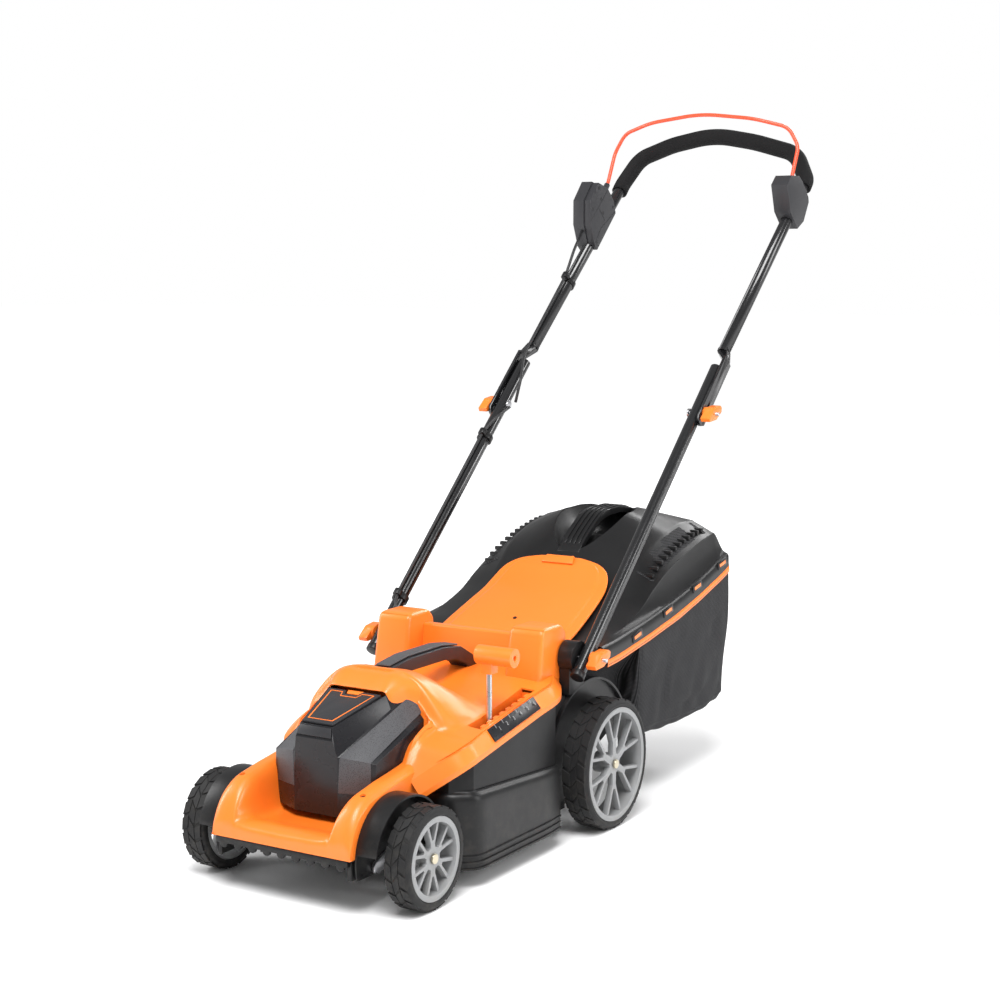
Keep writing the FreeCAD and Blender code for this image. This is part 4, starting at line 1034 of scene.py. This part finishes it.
def lidRow(y, half):
    low = reading(trimLine, y) + 2.3
    (x0, z0), (x1, z1), (x2, z2) = half
    path = [(0, z0 + 1.5), (32, z0 + 1.0), (x0, z0), (x1, z1), (x2, z2), (180, low + 24), (189.5, low + 22),
            (190, low)]
    line = eased([(x, y, z) for x, z in path[2:]], 4.0)
    right = [(path[0][0], y, path[0][1]), (path[1][0], y, path[1][1])] + line
    return [(-x, b, z) for x, b, z in right[:0:-1]] + right


def lidSkin():
    return skin([lidRow(y, half) for y, half in boxLidRows], 2, 5)


def heights():
    bm = lidSkin()
    tree = BVHTree.FromBMesh(bm)
    bm.free()

    def top(x, y):
        spot, normal, _, _ = tree.ray_cast(at(x, y, 700), Vector((0, 0, -1)))
        return spot, normal if normal.z > 0 else -normal
    return top


lidTop = heights()


def hollowMesh():
    cx, cy, a, b = lidSizes["hollow"]
    count = lidSizes["hollowPoints"]
    rings = []
    for k in range(9):
        share = 1.006 - k / 8
        dip = lidSizes["depth"] * max(0.0, 1 - max(share, 0.0) ** 2.6) ** 0.75
        ring = []
        for q in range(count):
            t = 2 * math.pi * q / count
            x, y = cx + a * share * math.cos(t), cy + b * share * math.sin(t)
            rim, _ = lidTop(cx + a * math.cos(t), cy + b * math.sin(t))
            middle, _ = lidTop(cx, y)
            level = rim.z * max(share, 0) + middle.z * (1 - max(share, 0)) if share < 1 else rim.z
            ring.append(Vector((x * mm, frontAxleY + y * mm, level - dip * mm - (0.0006 if k == 0 else 0))))
        rings.append(ring)
    bm = bmesh.new()
    verts = [[bm.verts.new(v) for v in ring] for ring in rings[:-1]]
    centre = bm.verts.new(sum(rings[-1], Vector()) / count)
    webbed(bm, verts, True)
    for k in range(count):
        bm.faces.new((verts[-1][k], verts[-1][(k + 1) % count], centre))
    outward(bm)
    return thick(bm, 2.4)


def barMesh():
    stations = [690 + 202 * k / 16 for k in range(17)]
    tops = [lidTop(0, y)[0] for y in stations]
    outline = [v + Vector((0, 0, 0.0008)) for v in tops] + [v + Vector((0, 0, -0.0095)) for v in tops[::-1]]
    wide = lidSizes["bar"] * mm
    parts = [prism([v + Vector((-wide, 0, 0)) for v in outline], (2 * wide, 0, 0), 1.8, 2)]
    for x in (-13.5, -4.5, 4.5, 13.5):
        ridge = [v + Vector((0, 0, 0.0028)) for v in tops[1:-1]] + [v for v in tops[-2:0:-1]]
        parts.append(prism([v + Vector(((x - 1.6) * mm, 0, 0)) for v in ridge], (3.2 * mm, 0, 0), 0.7, 1))
    return joined(parts)


def louvreMesh():
    rib = prism([(-0.012, -0.0042, -0.005), (0.012, -0.0042, -0.005), (0.012, 0.003, -0.005),
                 (-0.012, 0.003, -0.005)],
                (0, 0, 0.0066), 1.0, 2)
    spots = []
    for side in (1, -1):
        for k in range(lidSizes["louvres"]):
            y = 690 + k * 16.5
            spot, normal = lidTop(side * 151, y)
            spots.append((spot, slopeTurn(normal)))
    return placed(rib, spots, "dark_grey")


def louvreBedMesh():
    beds = []
    for side in (1, -1):
        rows = []
        for y in (682, 730, 780, 830, 880):
            rows.append([lidTop(side * x, y)[0] for x in (135, 142, 150, 158, 165)])
        bm = bmesh.new()
        verts = [[bm.verts.new(v + Vector((0, 0, 0.0006))) for v in row] for row in rows]
        webbed(bm, verts)
        outward(bm)
        beds.append(thick(bm, 1.2))
    return joined(beds)


def slopeTurn(normal):
    across = Vector((1, 0, 0)) - normal * normal.x
    across.normalize()
    along = normal.cross(across)
    return Matrix((across, along, normal)).transposed().to_euler()


def lidWindows():
    frames, inserts = [], []
    for side in (1, -1):
        for y, z in ((582, 279), (690, 302), (797, 327), (894, 353)):
            lean = math.atan2(0.22, 1)
            frames.append((at(side * 189.6, y, z), (lean, 0, 0)))
            inserts.append((at(side * 190.6, y, z), (lean, 0, 0)))
    frameBar = blockMesh((-0.0018, -0.017, -0.0065), (0.0018, 0.017, 0.0065), 1.0, 2)
    insertBar = blockMesh((-0.0012, -0.0115, -0.003), (0.0012, 0.0115, 0.003), 0.6, 1)
    return placed(frameBar, frames, "black_body"), placed(insertBar, inserts, "orange_body")


def boxLidMesh():
    bm = lidSkin()
    outward(bm)
    for end, shift in ((472.5, -0.3), (921.5, 1.0)):
        for v in extended(bm, at(0, end, 0).y):
            v.co.z = (reading(trimLine, end) + 2.3) * mm
            v.co.y += shift * mm
    bmesh.ops.recalc_face_normals(bm, faces=bm.faces)
    outward(bm)
    cx, cy, a, b = lidSizes["hollow"]
    ring = [at(cx + a * math.cos(math.pi * k / 24), cy + b * math.sin(math.pi * k / 24),
               330) for k in range(48)]
    return joined([thick(bm, lidSizes["wall"], [prism(ring, (0, 0, 0.2))]), hollowMesh(), barMesh(),
                   louvreMesh()])


newObject("boxTop", boxLidMesh(), slotOf["box_lid"], "grass_box", "box_lid")
newObject("louvreBed", louvreBedMesh(), "bag", "grass_box")
frameBars, insertBars = lidWindows()
newObject("lidWindows", frameBars, "black_body", "grass_box")
newObject("lidWindowInserts", insertBars, "orange_body", "grass_box")


bandSizes = {"wall": 0.8, "stitches": 86, "first": 490.0, "pitch": 5.0}


def bandMesh():
    rows = []
    for y in (486, 525, 580, 627, 680, 734, 772, 809, 850, 895, 924):
        z = reading(trimLine, y)
        rows.append([(189.0, y, z + 3), (190.2, y, z - 1), (190.4, y, z - 5), (190.0, y, z - 9),
                     (188.4, y, z - 10)])
    sides = []
    for side in (1, -1):
        bm = skin([[(x * side, y, z) for x, y, z in row] for row in rows], 2, 3)
        outward(bm, "x", side)
        sides.append(thick(bm, bandSizes["wall"]))
    return joined(sides)


def stitchMesh():
    thread = blockMesh((-0.0003, -0.0016, -0.00035), (0.0003, 0.0016, 0.00035))
    spots = []
    for side in (1, -1):
        for k in range(bandSizes["stitches"]):
            y = bandSizes["first"] + bandSizes["pitch"] * k
            spots.append((at(side * 190.5, y, reading(trimLine, y) - 5.8), (math.atan2(0.2, 1), 0, 0)))
    return placed(thread, spots, "black_body")


newObject("trimBand", bandMesh(), "orange_body", "grass_box")
newObject("trimStitches", stitchMesh(), "black_body", "grass_box")
print("box lid made")


# fabric bag: a slack sheet hung from the lid's edge, folds towards the bottom
bagRows = [
    (484.0, 122, 136, (141, 234)),
    (540.0, 117, 138, (143, 222)),
    (596.0, 112, 138, (146, 205)),
    (604.0, 107, 160, (180, 140)),
    (680.0, 100, 168, (186, 132)),
    (760.0, 99, 170, (188, 128)),
    (840.0, 100, 168, (187, 130)),
    (905.0, 104, 162, (185, 138)),
    (925.0, 116, 150, (174, 150)),
]
bagSizes = {"front": 484.0, "back": 925.0, "hang": 90, "fade": 30, "pull": 1.6, "fold": 3.2, "waves": 7}


def bagMesh():
    rows = []
    for y, low, wide, step in bagRows:
        top = reading(trimLine, y) + 0.5
        half = [(0, low - 2), (wide * 0.5, low - 1), (wide, low + 2), (step[0] - 3, (low + step[1]) / 2), step,
                (187 if step[0] > 150 else 165, (step[1] + top) / 2), (187, top - 6), (187, top)]
        rows.append(bothSides(half, y))
    bm = skin(rows, 8, 8)
    bm.normal_update()
    rng = random.Random(7)
    waves = [(rng.uniform(14, 40), rng.uniform(0, 6.28),
              rng.uniform(-0.6, 0.6)) for _ in range(bagSizes["waves"])]
    for v in bm.verts:
        y = (v.co.y - frontAxleY) / mm
        x, z = v.co.x / mm, v.co.z / mm
        top = reading(trimLine, y)
        shares = ((top - z) / bagSizes["hang"], (bagSizes["back"] - y) / bagSizes["fade"],
                  (y - bagSizes["front"]) / bagSizes["fade"])
        slack = math.prod(max(0.0, min(1.0, share)) for share in shares)
        fold = sum(math.sin((y + lean * z + abs(x) * 0.3) / wave * 2.2 + phase) for wave, phase,
                   lean in waves) / len(waves)
        way = 1 if v.normal.x * v.co.x > 0 or v.normal.z < 0 else -1
        v.co += v.normal * (-bagSizes["pull"] - bagSizes["fold"] * fold) * slack * mm * way
    limit = at(0, bagSizes["back"], 0).y  # the back is closed towards its middle
    rim = [v for v in bm.verts if abs(v.co.y - limit) < 1e-6]
    middle = Vector((0, limit, sum(v.co.z for v in rim) / len(rim)))
    inner = extended(bm, limit)
    corners = [max(group, key=lambda v: v.co.z + v.co.x * way) for group in (rim, inner) for way in (1, -1)]
    for v in inner:
        v.co = middle + (v.co - middle) * 0.02
        v.co.y = limit - 0.004
    bm.faces.new((corners[0], corners[1], corners[3], corners[2]))
    bmesh.ops.recalc_face_normals(bm, faces=bm.faces)
    return thick(bm, 1.0, degrees=60)


newObject("fabricBag", bagMesh(), "bag", "grass_box", "box_bag")
print("bag made")


# switch box seams, dark discs painted as the shade in its screw hollows, sleeves at the bail's feet, caps on
# the tubes
def seamMesh():
    parts = []
    for line in (((1072, 946), (1102, 972), (1139, 1008)), ((1086, 902), (1112, 934), (1168, 966)),
                 ((1102, 972), (1126, 948))):
        for (y0, z0), (y1, z1) in zip(line, line[1:]):
            along = Vector((0, y1 - y0, z1 - z0)).normalized()
            side = Vector((0, -along.z, along.y)) * 0.0007
            a, b = at(-172.4, y0, z0), at(-172.4, y1, z1)
            parts.append(prism([a - side, b - side, b + side, a + side], (0.0007, 0, 0)))
    # flat discs in the dark matte bag finish on the switch box's face: painted shade standing in for the screw
    # hollows
    ring = prism([(0, 0.0032 * math.cos(k * math.pi / 6),
                   0.0032 * math.sin(k * math.pi / 6)) for k in range(12)], (0.0007, 0, 0))
    spots = [(at(-172.3, y, z), (0, 0, 0)) for y,
             z in ((1104, 1008), (1080, 968), (1112, 988), (1120, 962), (1096, 908), (1158, 974))]
    return joined(parts + [placed(ring, spots, "bag")])


newObject("switchSeams", seamMesh(), "bag", "upper_handle")
sleeves = [cylinderMesh(at(side * 188.5, 1144 + 0.664 * 8, 993 + 0.747 * 8), (0, 0.664, 0.747), 5.4, 24, 24,
                        0.8) for side in (1, -1)]
newObject("bailSleeves", joined(sleeves), "dark_grey", "bail")
tubeWay = Vector((0, 371, 348)).normalized()
caps = [cylinderMesh(at(side * 189, 416, 272) - tubeWay * 0.0375, tubeWay, 11.4, 11, 32, 1.2) for side in (1,
                                                                                                           -1)]
newObject("tubeCaps", joined(caps), "black_body", "lower_handle")
print("handle details made")


# ticks and numbers beside the height slot
scaleSizes = {"first": 180.0, "pitch": 19.0, "count": 6}


def scaleMarks():
    tick = blockMesh((-0.0034, -0.0004, 0), (0.0034, 0.0004, 0.0003))
    spots, words = [], []
    for k in range(scaleSizes["count"]):
        y = scaleSizes["first"] + k * scaleSizes["pitch"]
        z = reading([(165.0, 193.0), (290.0, 216.0)], y)
        spots.append((at(174.9, y, z + 18.4), (0.18, 0.87, 0)))
        data = bpy.data.curves.new("number", "FONT")
        data.body = str(k + 1)
        data.size = 0.0085
        data.extrude = 0.0002
        data.align_x = "CENTER"
        text = bpy.data.objects.new("number", data)
        scene.collection.objects.link(text)
        mesh = applied(text)
        discard(text)
        mesh.transform(Matrix.Rotation(math.radians(90), 4, "Z"))
        mesh.transform(Matrix.Rotation(math.radians(50), 4, "Y"))
        mesh.transform(Matrix.Translation(at(180.6, y + 7, z + 12.4)))
        words.append(mesh)
    return joined([placed(tick, spots, "rim_grey")] + words)


newObject("scaleMarks", scaleMarks(), "rim_grey", "deck")
